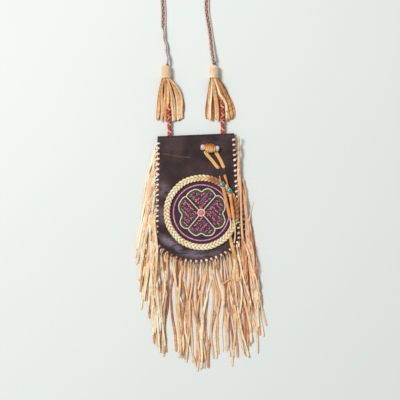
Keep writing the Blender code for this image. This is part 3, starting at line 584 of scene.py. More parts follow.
darkLeather = makeDarkLeather("darkLeather", grainLook(
    (46, 27, 27), (76, 52, 51), 0.55, 0.00016, 1100.0, 190.0, 24.0,
    wear=0.45, wearColour=(104, 72, 66), sheenColour=(158, 140, 156), sheens=[
        sheenSpot(-0.069, 0.019, 0.018, 0.024, 10, 0.6),
        sheenSpot(-0.074, -0.031, 0.013, 0.03, 0, 0.6),
        sheenSpot(-0.063, -0.085, 0.036, 0.013, -33, 1.0),
        sheenSpot(-0.045, -0.099, 0.018, 0.01, -40, 0.9),
        sheenSpot(-0.015, -0.112, 0.042, 0.013, -8, 0.85),
        sheenSpot(0.025, -0.112, 0.02, 0.009, 8, 0.5),
        sheenSpot(0.025, 0.108, 0.03, 0.008, 5, 0.2)],
    scratch={"middle": -0.043, "height": 0.086, "slope": -0.19, "bow": 1.2, "reach": 0.031,
             "width": 0.0007, "colour": (150, 122, 108)}))
insideLeather = makeDarkLeather("insideLeather", grainLook(
    (74, 52, 46), (96, 70, 60), 0.8, 0.0002, 1500.0, 260.0, 30.0,
    wear=0.4, wearColour=(124, 94, 82), sheens=[]))
capLeather = makeSkinFinish("capLeather", grainLook(
    (234, 200, 158), (255, 236, 202), 0.75, 0.0002, 1300.0, 240.0, 60.0,
    flecks=0.3, fleckColour=(200, 150, 108)))
boneFinish = makeSkinFinish("bone", grainLook(
    (198, 178, 172), (232, 218, 212), 0.35, 0.00008, 700.0, 240.0, 110.0,
    flecks=0.22, fleckColour=(166, 132, 116)))
tubeLeather = makeSkinFinish("tubeLeather", grainLook(
    (232, 146, 88), (252, 196, 130), 0.55, 0.00015, 1300.0, 220.0, 55.0,
    flecks=0.2, fleckColour=(186, 108, 64)))


def makeBeadFinish():
    # turquoise with pale and rusty veins
    material, tree = newMaterial("turquoise")
    where = ownPlace(tree)
    veins = where.cells(380.0)
    stops = [(0.3, (20, 110, 112)), (0.5, (50, 160, 156)), (0.7, (120, 200, 190))]
    base = where.noise(420.0, 5.0).ramp(stops)
    veined = (veins.between(0.08, 0.0) * 0.6).colours(base, (60, 66, 54))
    return dressed(material, veined, 0.25, veins, 0.0001, **{"Coat Weight": 0.6})


def makeClothFinish():
    # dark plum ground cloth, woven square
    material, tree = newMaterial("groundCloth")
    where = ownPlace(tree)
    parts = where.add("ShaderNodeSeparateXYZ", {0: where})
    weave = (parts * 9000.0).maths("SINE") * (parts[1] * 9000.0).maths("SINE")
    base = where.noise(90.0, 4.0).colours((58, 30, 44), (92, 50, 72))
    threads = weave.between(-0.4, 0.8).colours(base, (160, 140, 150), "MULTIPLY")
    return dressed(material, threads, 0.9, weave, 0.00012, **{"Sheen Weight": 0.2})


def makeThreadFinish():
    # embroidery silk: each stitch carries its own colour
    material, tree = newMaterial("silkThread")
    uneven = ownPlace(tree).noise(1800.0, 2.0)
    shade = readAttribute(tree, "thread", "Color")
    dulled = uneven.between(0.3, 0.7, 0.0, 0.22).colours(shade, (150, 132, 140), "MULTIPLY")
    return dressed(material, dulled, 0.55, uneven, 0.00008, **{"Sheen Weight": 0.3})


turquoise = makeBeadFinish()
groundCloth = makeClothFinish()
silkThread = makeThreadFinish()
print("Finishes made:", len(bpy.data.materials))


# Geometry Nodes trees: a strip or cord along each path, and a small shape at each point

def readNamed(tree, name, kind="FLOAT_VECTOR"):
    return addNode(tree, "GeometryNodeInputNamedAttribute", {"Name": name}, data_type=kind)


def finishTree(tree, shape, finish):
    tree.is_modifier = True
    finished = addNode(tree, "GeometryNodeSetMaterial", {"Geometry": shape, "Material": finish})
    real = addNode(tree, "GeometryNodeRealizeInstances", {0: finished})
    addNode(tree, "NodeGroupOutput", {"Geometry": real})
    return tree


def makeRibbonTree():
    tree, given = newGroup(
        "stripAlongPath", "GeometryNodeTree",
        {"Geometry": ("Geometry", None), "Profile": ("Object", None), "Width": ("Float", 0.004),
         "Thickness": ("Float", 0.001), "Finish": ("Material", None)}, ["Geometry"], "Geometry")
    lines = addNode(tree, "GeometryNodeMeshToCurve", {0: given["Geometry"]})
    turned = addNode(tree, "GeometryNodeSetCurveNormal", {
        "Curve": lines, "Normal": readNamed(tree, "facing")}, mode="FREE")
    outline = addNode(tree, "GeometryNodeObjectInfo", {"Object": given["Profile"]})
    ring = addNode(tree, "GeometryNodeMeshToCurve", {0: outline["Geometry"]})
    size = addNode(tree, "ShaderNodeCombineXYZ", {0: given["Thickness"], 1: given["Width"], 2: 1.0})
    scaled = addNode(tree, "GeometryNodeInputPosition").vectors("MULTIPLY", {1: size})
    sized = addNode(tree, "GeometryNodeSetPosition", {"Geometry": ring, "Position": scaled})
    swept = addNode(tree, "GeometryNodeCurveToMesh", {
        "Curve": turned, "Profile Curve": sized, "Fill Caps": True,
        "Scale": readNamed(tree, "wide", "FLOAT")})
    return finishTree(tree, swept, given["Finish"])


def makeScatterTree():
    tree, given = newGroup(
        "shapeAtPoints", "GeometryNodeTree",
        {"Geometry": ("Geometry", None), "Shape": ("Object", None), "Uneven": ("Float", 0.05),
         "Seed": ("Int", 3), "Finish": ("Material", None)}, ["Geometry"], "Geometry")
    spin = addNode(tree, "FunctionNodeEulerToRotation", {0: readNamed(tree, "turn")})
    vary = addNode(tree, "FunctionNodeRandomValue", {
        "Seed": given["Seed"], 2: 1.0 - given["Uneven"], 3: given["Uneven"] + 1.0}, data_type="FLOAT")
    grown = readNamed(tree, "size").vectors("SCALE", {"Scale": vary[1]})
    shape = addNode(tree, "GeometryNodeObjectInfo", {"Object": given["Shape"]})
    placed = addNode(tree, "GeometryNodeInstanceOnPoints", {
        "Points": given["Geometry"], "Instance": shape["Geometry"], "Rotation": spin, "Scale": grown})
    return finishTree(tree, placed, given["Finish"])


ribbonTree = makeRibbonTree()
scatterTree = makeScatterTree()


def meshWith(name, places, edges=(), faces=(), **values):
    # a mesh with point attributes, their kind told by how many numbers each has
    mesh = bpy.data.meshes.new(name)
    mesh.from_pydata([tuple(p) for p in places], list(edges), list(faces))
    kinds = {1: ("FLOAT", "value"), 3: ("FLOAT_VECTOR", "vector"), 4: ("FLOAT_COLOR", "color")}
    for key, data in values.items():
        data = np.array(data, dtype=np.float32).reshape(len(places), -1)
        kind, field = kinds[data.shape[1]]
        mesh.attributes.new(key, kind, "POINT").data.foreach_set(field, data.ravel())
    return mesh


def grown(name, mesh, tree, degrees, inputs):
    # the tree's result as a plain mesh object at the origin
    source = linked(bpy.data.objects.new(name + "Source", mesh))
    modifier = source.modifiers.new("grow", "NODES")
    modifier.node_group = tree
    for item in tree.interface.items_tree:
        if item.in_out == "INPUT" and item.name in inputs:
            modifier[item.identifier] = inputs[item.name]
    graph = bpy.context.evaluated_depsgraph_get()
    result = bpy.data.meshes.new_from_object(source.evaluated_get(graph))
    bpy.data.objects.remove(source)
    result.name = name
    softened(result, degrees)
    return linked(bpy.data.objects.new(name, result))


def profileObject(name, outline):
    # a closed outline: x is its thickness and y its width, both about -0.5 to 0.5
    count = len(outline)
    mesh = meshWith(name, [(x, y, 0) for x, y in outline], [(k, (k + 1) % count) for k in range(count)],
                    across=[2 * y for x, y in outline])
    return linked(bpy.data.objects.new(name, mesh))


stripProfile = profileObject("stripProfile", [
    (0.6, 0.0), (0.42, 0.26), (0.06, 0.45), (-0.36, 0.5), (-0.55, 0.4), (-0.35, 0.0), (-0.55, -0.4),
    (-0.36, -0.5), (0.06, -0.45), (0.42, -0.26)])
roundProfile = profileObject("roundProfile", [polar(math.pi / 4 * k, 0.5) for k in range(8)])


def pathsMesh(name, paths):
    # each path has points, facing and tone, at times wide too, and may be closed
    places, edges = [], []
    values = {"facing": [], "tone": [], "wide": [], "along": []}
    for path in paths:
        first = len(places)
        points = path["points"]
        count = len(points)
        edges += [(first + k, first + k + 1) for k in range(count - 1)]
        if path.get("closed"):
            edges.append((first + count - 1, first))
        places += points
        facing = [tuple(f) for f in path["facing"]]
        given = {"wide": 1.0, **path, "facing": facing, "along": walkedLengths(points)}
        for key, made in values.items():
            made += given[key] if isinstance(given[key], list) else [given[key]] * count
    return meshWith(name, places, edges, **values)


def ribbons(name, paths, width, thickness, finish, profile=stripProfile):
    return grown(name, pathsMesh(name, paths), ribbonTree, 35, {
        "Profile": profile, "Width": width, "Thickness": thickness, "Finish": stripFinish[finish]})


def scattered(name, shape, places, turns, sizes, finish, uneven, seed, **values):
    made = grown(name, meshWith(name, places, turn=turns, size=sizes, **values), scatterTree, 50, {
        "Shape": shape, "Finish": finish, "Uneven": uneven, "Seed": seed})
    bpy.data.objects.remove(shape)
    return made


# Camera: straight down, as the photograph is taken

view = {"pixel": 0.002, "originPixel": (199, 198), "roll": 2.4, "height": 2.6, "frameSize": 400,
        "focus": 0.01}


def fromPixel(x, y):
    # a pixel of the frame as a place on the bag, in metres
    angle = math.radians(view["roll"])
    right = (x - view["originPixel"][0]) * view["pixel"]
    upward = (view["originPixel"][1] - y) * view["pixel"]
    return Vector((right * math.cos(angle) + upward * math.sin(angle),
                   upward * math.cos(angle) - right * math.sin(angle)))


def pixelLine(places, spacing):
    # a smooth curve in the plane through pixels of the frame
    return smoothLine([raised(fromPixel(*p)) for p in places], spacing)


def makeCamera():
    lens = bpy.data.cameras.new("camera")
    lens.sensor_width = 36
    lens.sensor_fit = "HORIZONTAL"
    wide = view["pixel"] * view["frameSize"]
    lens.lens = lens.sensor_width * view["height"] / wide
    camera = linked(bpy.data.objects.new("camera", lens))
    middle = fromPixel(view["frameSize"] / 2, view["frameSize"] / 2)
    camera.location = raised(middle, view["height"] + view["focus"])
    camera.rotation_euler = (0, 0, -math.radians(view["roll"]))
    bpy.context.scene.camera = camera


makeCamera()

# Shoulder strap: a flat braid with pale edges, first because its coil has to keep out of the picture

strap = {
    "edgeOffset": 0.0038, "edgeCord": 0.0018, "edgePly": 0.00075, "edgePitch": 0.0055,
    "plaitWidth": 0.0023, "plaitThickness": 0.0013, "plaitSwing": 0.0013, "plaitRise": 0.00066,
    "plaitPitch": 0.0115, "step": 0.0013, "folded": 68, "foldTop": 0.352, "foldRun": 0.014, "shaped": 0.16,
    "leanLeft": (16, 230), "leanRight": (8, 70),
    "left": [(-0.0512, 0.2695, 0.0098), (-0.0511, 0.2864, 0.006), (-0.053, 0.3045, 0.0036),
             (-0.0561, 0.3286, 0.0028), (-0.0571, 0.3467, 0.0026), (-0.0556, 0.3826, 0.0026),
             (-0.058, 0.4277, 0.0024)],
    "right": [(0.041, 0.272, 0.01), (0.0386, 0.2946, 0.0062), (0.0377, 0.313, 0.0038),
              (0.036, 0.3348, 0.0026), (0.0312, 0.379, 0.0024), (0.0337, 0.4272, 0.0045)],
    "coil": (-0.012, 0.459), "turns": 2.5, "wide": 0.05, "narrow": 0.0385, "last": 0.044,
    "low": 0.0022, "over": 0.0056,
}
tie = {"parts": 48, "turns": 2, "at": 60, "radius": 0.044, "across": 0.0128, "drift": 0.006,
       "level": 0.0052, "rise": 0.0046, "width": 0.003, "thickness": 0.001}


def coilPoints():
    # two turns side by side on the table, then half a turn on top of them, clockwise
    x, y = strap["coil"]
    made = []
    for k in range(1, 100):
        turn = strap["turns"] * k / 100
        if turn < 2:
            radius = eased(strap["wide"], strap["narrow"], (turn - 0.8) / 0.4)
        else:
            radius = eased(strap["narrow"], strap["last"], (turn - 1.9) / 0.3)
        height = eased(strap["low"], strap["over"], (turn - 1.88) / 0.16)
        right, upward = polar(math.pi - 2 * math.pi * turn, radius)
        made.append((x + right, y + upward, height))
    return made


def makeStrap():
    line = smoothLine([*strap["left"], *coilPoints(), *reversed(strap["right"])], strap["step"])
    walked = walkedLengths(line)
    frames = []
    for place, tangent, w in zip(line, tangents(line), walked):
        # above the left tassel the strap is folded along its length, both pale edges up
        lean = 0.0
        bend = 0.0
        if w < strap["shaped"]:
            folded = smoothStep((strap["foldTop"] - place.y) / strap["foldRun"])
            bend = folded * strap["folded"]
            degrees, waves = strap["leanLeft"]
            lean = degrees * math.sin(place.y * waves) * folded
        elif w > walked[-1] - strap["shaped"]:
            degrees, waves = strap["leanRight"]
            lean = degrees * math.sin(place.y * waves)
        side = squareTo(tangent.cross(up), tangent)
        normal = side.cross(tangent).normalized()
        turn = Matrix.Rotation(math.radians(lean), 3, tangent)
        frames.append((turn @ side, turn @ normal, math.radians(bend)))

    def cordPath(shift, rise, tone):
        points = []
        for place, (side, normal, bend), w in zip(line, frames, walked):
            away = shift(w)
            points.append(place + side * away * math.cos(bend)
                          + normal * (rise(w) + abs(away) * math.sin(bend)))
        return {"points": points, "facing": squared([f[1] for f in frames], points), "tone": tone}

    def edgeCord(side, ply):
        phase = math.pi * ply
        turn = lambda w: w * math.tau / strap["edgePitch"] + phase
        return cordPath(lambda w: side * strap["edgeOffset"] + strap["edgePly"] * math.cos(turn(w)),
                        lambda w: strap["edgePly"] * math.sin(turn(w)), 0.35 + 0.5 * ply)

    def plaitCord(lead, tone):
        turn = lambda w: w * math.tau / strap["plaitPitch"] + math.tau * lead / 3
        return cordPath(lambda w: strap["plaitSwing"] * math.sin(turn(w)),
                        lambda w: strap["plaitRise"] * math.sin(2 * turn(w)), tone)

    edges = ribbons("strapEdges", [edgeCord(side, ply) for side in (-1, 1) for ply in range(2)],
                    strap["edgeCord"], strap["edgeCord"], "cordPale", roundProfile)
    plait = ribbons("strapPlait", [plaitCord(*cord) for cord in enumerate((0.0, 0.45, 1.0))],
                    strap["plaitWidth"], strap["plaitThickness"], "cordDark", roundProfile)
    made = joined("shoulderStrap", edges, plait)
    settle(made, "pouch", "strap_braid", "strap_left", "strap_right", "strap_coil")
    path = line[::4] + [line[-1]]
    return made, [tuple(p) for p in path], sum((b - a).length for a, b in zip(path, path[1:]))


def makeStrapTie():
    # a short lace wound twice round the coil to keep it together
    centre = raised(strap["coil"])
    out = raised(polar(math.radians(tie["at"])))
    along = Vector((-out.y, out.x, 0))
    points, facing = [], []
    for k in range(tie["parts"] + 1):
        across, high = polar(math.tau * tie["turns"] * k / tie["parts"])
        points.append(centre + out * (tie["radius"] + across * tie["across"])
                      + along * (k / tie["parts"] - 0.5) * tie["drift"]
                      + up * (tie["level"] + high * tie["rise"]))
        facing.append((out * across + up * high).normalized())
    made = ribbons("strapTie", [{"points": points, "facing": facing, "tone": 0.4}], tie["width"],
                   tie["thickness"], "lace")
    settle(made, "pouch", "cream_lace")
    return made


shoulderStrap, strapPath, strapLength = makeStrap()
strapTie = makeStrapTie()
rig.cord(shoulderStrap, exit=strapPath[0], length=strapLength, diameter=0.008, far_end="object",
        stiffness="limp", lay="coiled", path=strapPath, with_pieces=[strapTie])
print("Strap made:", round(strapLength, 3), "m long")


# Light and table

stage = {"fill": 0.385, "lampSize": 1.44, "lampEnergy": 146, "lampPlace": (-2.0, 1.44, 3.52), "tableHalf": 4}


def makeStage():
    world = bpy.data.worlds.new("studio")
    world.use_nodes = True
    setInputs(world.node_tree.nodes["Background"], {0: (1, 1, 1, 1), 1: stage["fill"]})
    bpy.context.scene.world = world
    key = bpy.data.lights.new("key", "AREA")
    key.shape = "DISK"
    key.size = stage["lampSize"]
    key.energy = stage["lampEnergy"]
    lamp = linked(bpy.data.objects.new("key", key))
    lamp.location = stage["lampPlace"]
    lamp.rotation_euler = (-lamp.location).to_track_quat("-Z", "Y").to_euler()
    far = stage["tableHalf"]
    corners = [(-far, -far, 0), (far, -far, 0), (far, far, 0), (-far, far, 0)]
    floor = linked(bpy.data.objects.new("table", meshWith("table", corners, (), [(0, 1, 2, 3)])))
    material, tree = newMaterial("tableTop")
    shade = ownPlace(tree).noise(3.0, 1.0).colours((225, 233, 229), (233, 236, 232))
    floor.data.materials.append(dressed(material, shade, 0.9))
    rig.stage(floor)
    bpy.context.scene.view_settings.view_transform = "Standard"


makeStage()


# Outlines of the pouch and the flap, the same as the solids'

fold = {
    "top": 0.12, "run": 0.0205, "radius": 0.00695, "rows": 16, "left": -0.0755, "right": 0.0735,
    "columns": 40, "hole": 0.0027, "holes": [(0.0414, 0.0573), (0.0525, 0.0579)],
    "slotLong": 0.0026, "slotWide": 0.0008, "slots": [(0.0428, 0.0422), (0.0535, 0.0438)],
    "backSpacing": 0.0055, "flapSpacing": 0.0034,
}


class Outline:
    def __init__(self, top, bottom, topHalf, lowHalf, centre, lean):
        self.bottom = bottom
        self.halves = (topHalf, lowHalf)
        self.centre = centre
        self.lean = lean
        right = self.rightHalf(top)
        left = [Vector((2 * self.middle(p.y) - p.x, p.y)) for p in right]
        ring = [*left[:-1], *reversed(right)]
        walked = walkedLengths(ring)
        self.length = walked[-1]
        count = round(self.length / 0.002)
        marks = np.linspace(0, self.length, count + 1)
        self.step = self.length / count
        self.points = [Vector((np.interp(m, walked, [p.x for p in ring]),
                               np.interp(m, walked, [p.y for p in ring]))) for m in marks]
        self.table = np.array([tuple(p) for p in self.points])

    def down(self, y):
        # the share of the way from the fold to the lowest point
        return (fold["top"] - y) / (fold["top"] - self.bottom)

    def middle(self, y):
        return self.centre + self.lean * (fold["top"] - y) / (fold["top"] - self.bottom)

    def rightHalf(self, top):
        # down the right side, round the corner and along the bottom arc to the middle
        corner, arc = 0.013, 0.108
        start, low = (Vector((mix(*self.halves, self.down(y)), y)) for y in (top, self.bottom))
        run = (low - start).normalized()
        inward = Vector((run.y, -run.x))
        arcCentre = Vector((0, self.bottom + arc))
        reach = start + inward * corner - arcCentre
        along = reach.dot(run)
        self.side = math.sqrt(along ** 2 - reach.length_squared + (arc - corner) ** 2) - along
        sideEnd = start + run * self.side
        cornerCentre = sideEnd + inward * corner
        first = math.atan2(*reversed(sideEnd - cornerCentre))
        turn = math.atan2(*reversed(cornerCentre - arcCentre))
        points = [start, sideEnd]
        points += [cornerCentre + corner * Vector(polar(mix(first, turn, k / 12))) for k in range(1, 13)]
        points += [arcCentre + arc * Vector(polar(mix(turn, -math.pi / 2, k / 24))) for k in range(1, 25)]
        return [Vector((self.middle(p.y) + p.x, p.y)) for p in points]

    def at(self, distance, out=0.0):
        # the place at a distance along the outline, moved outward, and the outward direction there
        spot = min(max(distance / self.step, 0), len(self.points) - 1.001)
        k = int(spot)
        run = (self.points[min(k + 2, len(self.points) - 1)] - self.points[max(k - 1, 0)]).normalized()
        outward = Vector((run.y, -run.x))
        return self.points[k].lerp(self.points[k + 1], spot - k) + outward * out, outward

    def distances(self, places, withTop=True):
        # how far each place lies outside, negative inside, with or without the top edge
        loop = np.vstack([self.table, self.table[:1]]) if withTop else self.table
        a = loop[:-1]
        side = loop[1:] - a
        lengths = (side ** 2).sum(1)
        lengths[lengths == 0] = 1e-12
        places = np.asarray(places, dtype=float)
        away = places[:, None, :] - a[None]
        share = np.clip((away * side[None]).sum(2) / lengths, 0, 1)
        near = away - side[None] * share[..., None]
        best = np.sqrt((near ** 2).sum(2)).min(1)
        x, y = places[:, 0:1], places[:, 1:2]
        low = a[None, :, 1]
        rise = side[None, :, 1]
        crossing = (low > y) != (low + rise > y)
        with np.errstate(divide="ignore", invalid="ignore"):
            at = a[None, :, 0] + (y - low) * side[None, :, 0] / rise
        inside = (np.where(crossing, at > x, False).sum(1) % 2) == 1
        return np.where(inside, -best, best)

    def innerRow(self, limit):
        # a row of places just inside the outline, as far up as a limit
        spots = [self.at(k * self.step, -0.001)[0] for k in range(2, len(self.points) - 2)]
        return [(p.x, p.y) for p in spots if p.y < limit]


flapEdge = Outline(top=0.1193, bottom=-0.127, topHalf=0.076, lowHalf=0.0845, centre=-0.001, lean=-0.0055)
pouchEdge = Outline(top=fold["top"], bottom=-0.122, topHalf=0.0775, lowHalf=0.0915, centre=-0.001, lean=0.002)
heights = {"backRim": 0.0016, "frontRim": 0.0052, "frontDome": 0.0086, "flap": 0.0121, "flapTop": 0.0139,
           "leather": 0.0018}
discCentre = (0.0034, -0.029)
pouchMouth = 0.104
# a swell: its middle, how wide and high it is, its turn and how far it rises
flapShape = {
    "level": 0.076, "levelRun": 0.014, "foldStart": 0.1125, "foldRun": 0.02,
    "waves": 0.001, "ripples": 0.0005,
    "swells": [(-0.06, -0.087, 0.02, 0.007, -33, 0.0012), (-0.018, -0.11, 0.016, 0.007, -12, 0.001),
               (-0.072, 0.01, 0.008, 0.024, 8, 0.0008), (0.06, -0.095, 0.012, 0.01, 30, 0.0008)],
}


def flapTop(x, y):
    # the flap's outer surface: level under the medallion, with slow waves and a few soft swells
    away = math.hypot(x - discCentre[0], y - discCentre[1])
    free = smoothStep((away - flapShape["level"]) / flapShape["levelRun"])
    free *= smoothStep((flapShape["foldStart"] - y) / flapShape["foldRun"])
    waves = flapShape["waves"] * (0.5 + 0.5 * slow(x, y, 22, 3.1))
    waves += flapShape["ripples"] * slow(x, y, 55, 8.2)
    for px, py, wide, high, turn, rise in flapShape["swells"]:
        right, upward = polar(math.radians(turn))
        u = ((x - px) * right + (y - py) * upward) / wide
        v = ((y - py) * right - (x - px) * upward) / high
        waves += rise * math.exp(-u * u - v * v)
    return heights["flapTop"] + max(waves, 0) * free


# Leather sheets

def insideRing(x, y, ring):
    within = False
    for (x0, y0), (x1, y1) in looped(ring):
        if (y0 > y) != (y1 > y) and x < x0 + (y - y0) * (x1 - x0) / (y1 - y0):
            within = not within
    return within


def sheetPoints(loop, distances, spacing, seed):
    # an even field of places inside a loop
    low = np.min(loop, axis=0)
    high = np.max(loop, axis=0)
    chance = random.Random(seed)
    field = []
    rows = int((high[1] - low[1]) / spacing) + 1
    columns = int((high[0] - low[0]) / spacing) + 2
    for j in range(rows + 1):
        for i in range(columns):
            x = low[0] + (i + 0.5 * (j % 2)) * spacing + chance.uniform(-0.12, 0.12) * spacing
            y = low[1] + j * spacing + chance.uniform(-0.12, 0.12) * spacing
            field.append((x, y))
    return [p for p, d in zip(field, distances(field)) if d < -0.55 * spacing]


def triangulated(rings, inner):
    # places and triangles of a flat sheet between its outer ring, its holes and the places inside
    numbers = iter(range(sum(len(ring) for ring in rings)))
    borders = [[next(numbers) for _ in ring] for ring in rings]
    flat = [Vector(p) for p in [*[p for ring in rings for p in ring], *inner]]
    points, _, triangles, *_ = delaunay_2d_cdt(flat, [], borders, 0, 1e-9)
    return [tuple(p) for p in points], triangles


def makeSheet(name, rings, points, triangles, surface, depths, innerSide):
    # both sides of a sheet and its rims; side 1 faces up in the flat, side 0 down
    count = len(points)
    made = [surface(*p, 1) for p in points] + [surface(*p, 0) for p in points]
    faces = []
    for face in triangles:
        a, b, c = (points[k] for k in face[:3])
        x, y = (a[0] + b[0] + c[0]) / 3, (a[1] + b[1] + c[1]) / 3
        turn = (b[0] - a[0]) * (c[1] - a[1]) - (b[1] - a[1]) * (c[0] - a[0])
        if (not insideRing(x, y, rings[0]) or any(insideRing(x, y, hole) for hole in rings[1:])
                or abs(turn) < 1e-12):
            continue
        upper = tuple(face) if turn > 0 else tuple(reversed(face))
        faces.append(upper)
        faces.append(tuple(count + k for k in reversed(upper)))
    start = 0
    for number, ring in enumerate(rings):
        area = sum(x0 * y1 - x1 * y0 for (x0, y0), (x1, y1) in looped(ring))
        forward = (area > 0) == (number == 0)
        first = len(made)
        size = len(ring)
        made += [surface(*points[start + k], 0.5) for k in range(size)]
        for k in range(size):
            a, b = (k, (k + 1) % size) if forward else ((k + 1) % size, k)
            faces.append((start + a, first + a, first + b, start + b))
            faces.append((first + a, count + start + a, count + start + b, first + b))
        start += size
    rim = [1 - smoothStep((depth - 0.0005) / 0.003) for depth in depths]
    mesh = meshWith(name, made, (), faces, edge=rim + rim + [1.0] * (len(made) - 2 * count))
    mesh.materials.append(darkLeather)
    mesh.materials.append(insideLeather)
    inner = (1 - innerSide) * count
    mesh.polygons.foreach_set("material_index", [int(all(inner <= k < inner + count for k in face))
                                                 for face in faces])
    mesh.validate()
    softened(mesh, 50)
    return linked(bpy.data.objects.new(name, mesh))


# Bag leather: back, top fold and flap are one sheet, laid out flat with its length along Y

turnAt = fold["top"] + fold["run"]


def rolledOut(y):
    # from a height on the flap to its place along the flat sheet, and back
    return turnAt + fold["top"] - y


def backUnder(x, y, distance):
    # the underside of the back: a raised rim that fades out toward the fold
    rim = heights["backRim"] * smoothStep((0.118 - y) / 0.0136)
    low = eased(rim, 0, (distance - 0.0095) / 0.0185)
    return low + 0.0002 * (0.5 + 0.5 * slow(x, y, 40, 5)) * smoothStep((0.1 - y) / 0.02)


def foldSide(first, last, start, way):
    # the fold's free edge between the pouch's side and the flap's
    return [(mix(first.x, last.x, k / 14), start + way * fold["run"] * k / 14) for k in range(1, 14)]


def flapHoles():
    # round holes for the toggle's legs, and slots where the thongs come out again
    holes = []
    for x, y in fold["holes"]:
        ring = [polar(math.tau * k / 14, fold["hole"]) for k in range(14)]
        holes.append([(x + right, rolledOut(y) - upward) for right, upward in ring])
    for hole, slot in zip(fold["holes"], fold["slots"]):
        spot = Vector(slot)
        way = (spot - Vector(hole)).normalized()
        across = Vector((-way.y, way.x)) * fold["slotLong"]
        thin = way * fold["slotWide"]
        corners = (spot - across - thin, spot + across - thin, spot + across + thin, spot - across + thin)
        holes.append([(p.x, rolledOut(p.y)) for p in corners])
    return holes


def makeBagLeather():
    backStart, backEnd = pouchEdge.points[0], pouchEdge.points[-1]
    flapStart, flapEnd = flapEdge.points[0], flapEdge.points[-1]
    flapLoop = [(p.x, rolledOut(p.y)) for p in flapEdge.points]
    loop = [*[(p.x, p.y) for p in pouchEdge.points], *foldSide(backEnd, flapEnd, fold["top"], 1),
            *reversed(flapLoop), *foldSide(flapStart, backStart, turnAt, -1)]
    holes = flapHoles()
    flapDistances = lambda field: flapEdge.distances([(x, rolledOut(s)) for x, s in field])
    inner = pouchEdge.innerRow(fold["top"] - 0.002)
    inner += [(x, rolledOut(y)) for x, y in flapEdge.innerRow(fold["top"] - 0.003)]
    columns = [mix(fold["left"], fold["right"], k / fold["columns"]) for k in range(fold["columns"] + 1)]
    for row in range(fold["rows"] + 1):
        inner += [(x, fold["top"] + fold["run"] * row / fold["rows"]) for x in columns]
    inner += [p for p in sheetPoints(loop, pouchEdge.distances, fold["backSpacing"], 5)
              if p[1] < fold["top"] - 0.002]
    inner += [p for p in sheetPoints(flapLoop, flapDistances, fold["flapSpacing"], 6)
              if p[1] > turnAt + 0.002 and all(min(math.dist(p, q) for q in hole) > 0.0012 for hole in holes)]
    points, triangles = triangulated([loop, *holes], inner)
    sideDepth = {p: abs(d) for p, d in zip(points, pouchEdge.distances(points, False))}

    def surface(x, s, side):
        thick = heights["leather"] * side
        if s <= fold["top"]:
            return (x, s, backUnder(x, s, sideDepth[(x, s)]) + thick)
        if s < turnAt:
            angle = math.pi * ((s - fold["top"]) / fold["run"] - 0.5)
            dent = 0.0004 * slow(x, s, 30, 2.5) * math.cos(angle)
            inward, upward = polar(angle, fold["radius"] - thick + min(dent, 0))
            return (x, fold["top"] + inward, fold["radius"] + upward)
        return (x, rolledOut(s), flapTop(x, rolledOut(s)) - thick)

    depths = []
    for p, back, flap in zip(points, pouchEdge.distances(points), flapDistances(points)):
        overFold = min(p[0] + 0.0765, 0.0755 - p[0])
        depths.append(-back if p[1] <= fold["top"] else overFold if p[1] < turnAt else -flap)
    bag = makeSheet("bagLeather", [loop, *holes], points, triangles, surface, depths, innerSide=1)
    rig.blend(bag, "pouch", "flap", (0, 0, 0.0075), (0, 0, 0.0119))
    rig.slot(bag, "dark_leather")
    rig.replaces(bag, "back_panel", "flap_panel")


def makePouchFront():
    # the front of the pouch: a raised rim, a domed middle and a free, slightly wavy mouth
    loop = [(p.x, p.y) for p in pouchEdge.points if p.y < pouchMouth - 0.0005]
    left, right = loop[0][0], loop[-1][0]
    for k in range(1, 40):
        share = k / 40
        x = mix(right, left, share)
        loop.append((x, pouchMouth - 0.0016 * math.sin(math.pi * share) - 0.0006 * slow(x, 0, 60, 4)))
    inner = pouchEdge.innerRow(pouchMouth - 0.003)
    inner += [p for p in sheetPoints(loop, pouchEdge.distances, 0.0045, 8) if p[1] < pouchMouth - 0.0045]
    points, triangles = triangulated([loop], inner)
    away = {p: abs(d) for p, d in zip(points, pouchEdge.distances(points, False))}

    def surface(x, y, side):
        share = smoothStep((away[(x, y)] - 0.0095) / 0.0185)
        low = mix(heights["frontRim"], heights["frontDome"], share)
        low -= 0.0004 * (0.5 + 0.5 * slow(x, y, 30, 7)) * share
        return (x, y, low + heights["leather"] * side)

    depths = [min(away[p], abs(p[1] - pouchMouth)) for p in points]
    front = makeSheet("pouchFront", [loop], points, triangles, surface, depths, innerSide=0)
    settle(front, "pouch", "dark_leather", "front_panel")


# Lacing: whip stitches over both seams

lacing = {
    "pitch": 0.0103, "width": 0.0042, "thickness": 0.0013, "reach": 0.0033, "slant": 0.0022,
    "pouch": {"start": 0.024, "low": 0.0016, "high": 0.007, "top": pouchMouth, "seed": 21},
    "flap": {"start": 0.006, "low": 0.0096, "high": 0.0139, "top": 1.0, "seed": 22},
}


def stitchShape(name, low, high):
    # one whip stitch: into the top of the leather, out round the edge and back in below
    reach = lacing["reach"]
    route = [(-reach - 0.0006, high - 0.0008, 0), (-reach + 0.0003, high + 0.0003, 0.05),
             (-reach * 0.5, high + 0.001, 0.25), (0.0002, high + 0.0008, 0.45),
             (0.0015, high - 0.0004, 0.5), (0.0016, (high + low) / 2, 0.55), (0.0014, low + 0.0004, 0.6),
             (-0.0004, low - 0.0007, 0.65), (-reach * 0.5, low - 0.0009, 0.8),
             (-reach + 0.0003, low - 0.0003, 0.95), (-reach - 0.0006, low + 0.0008, 1)]
    line = smoothLine([(u, slide * lacing["slant"], z) for u, z, slide in route], 0.0011)
    middle = Vector((-0.003, 0, (high + low) / 2))
    path = {"points": line, "facing": squared([p - middle for p in line], line), "tone": 0.5}
    made = ribbons(name, [path], lacing["width"], lacing["thickness"], "lace")
    made.data.attributes.remove(made.data.attributes["tone"])
    return made


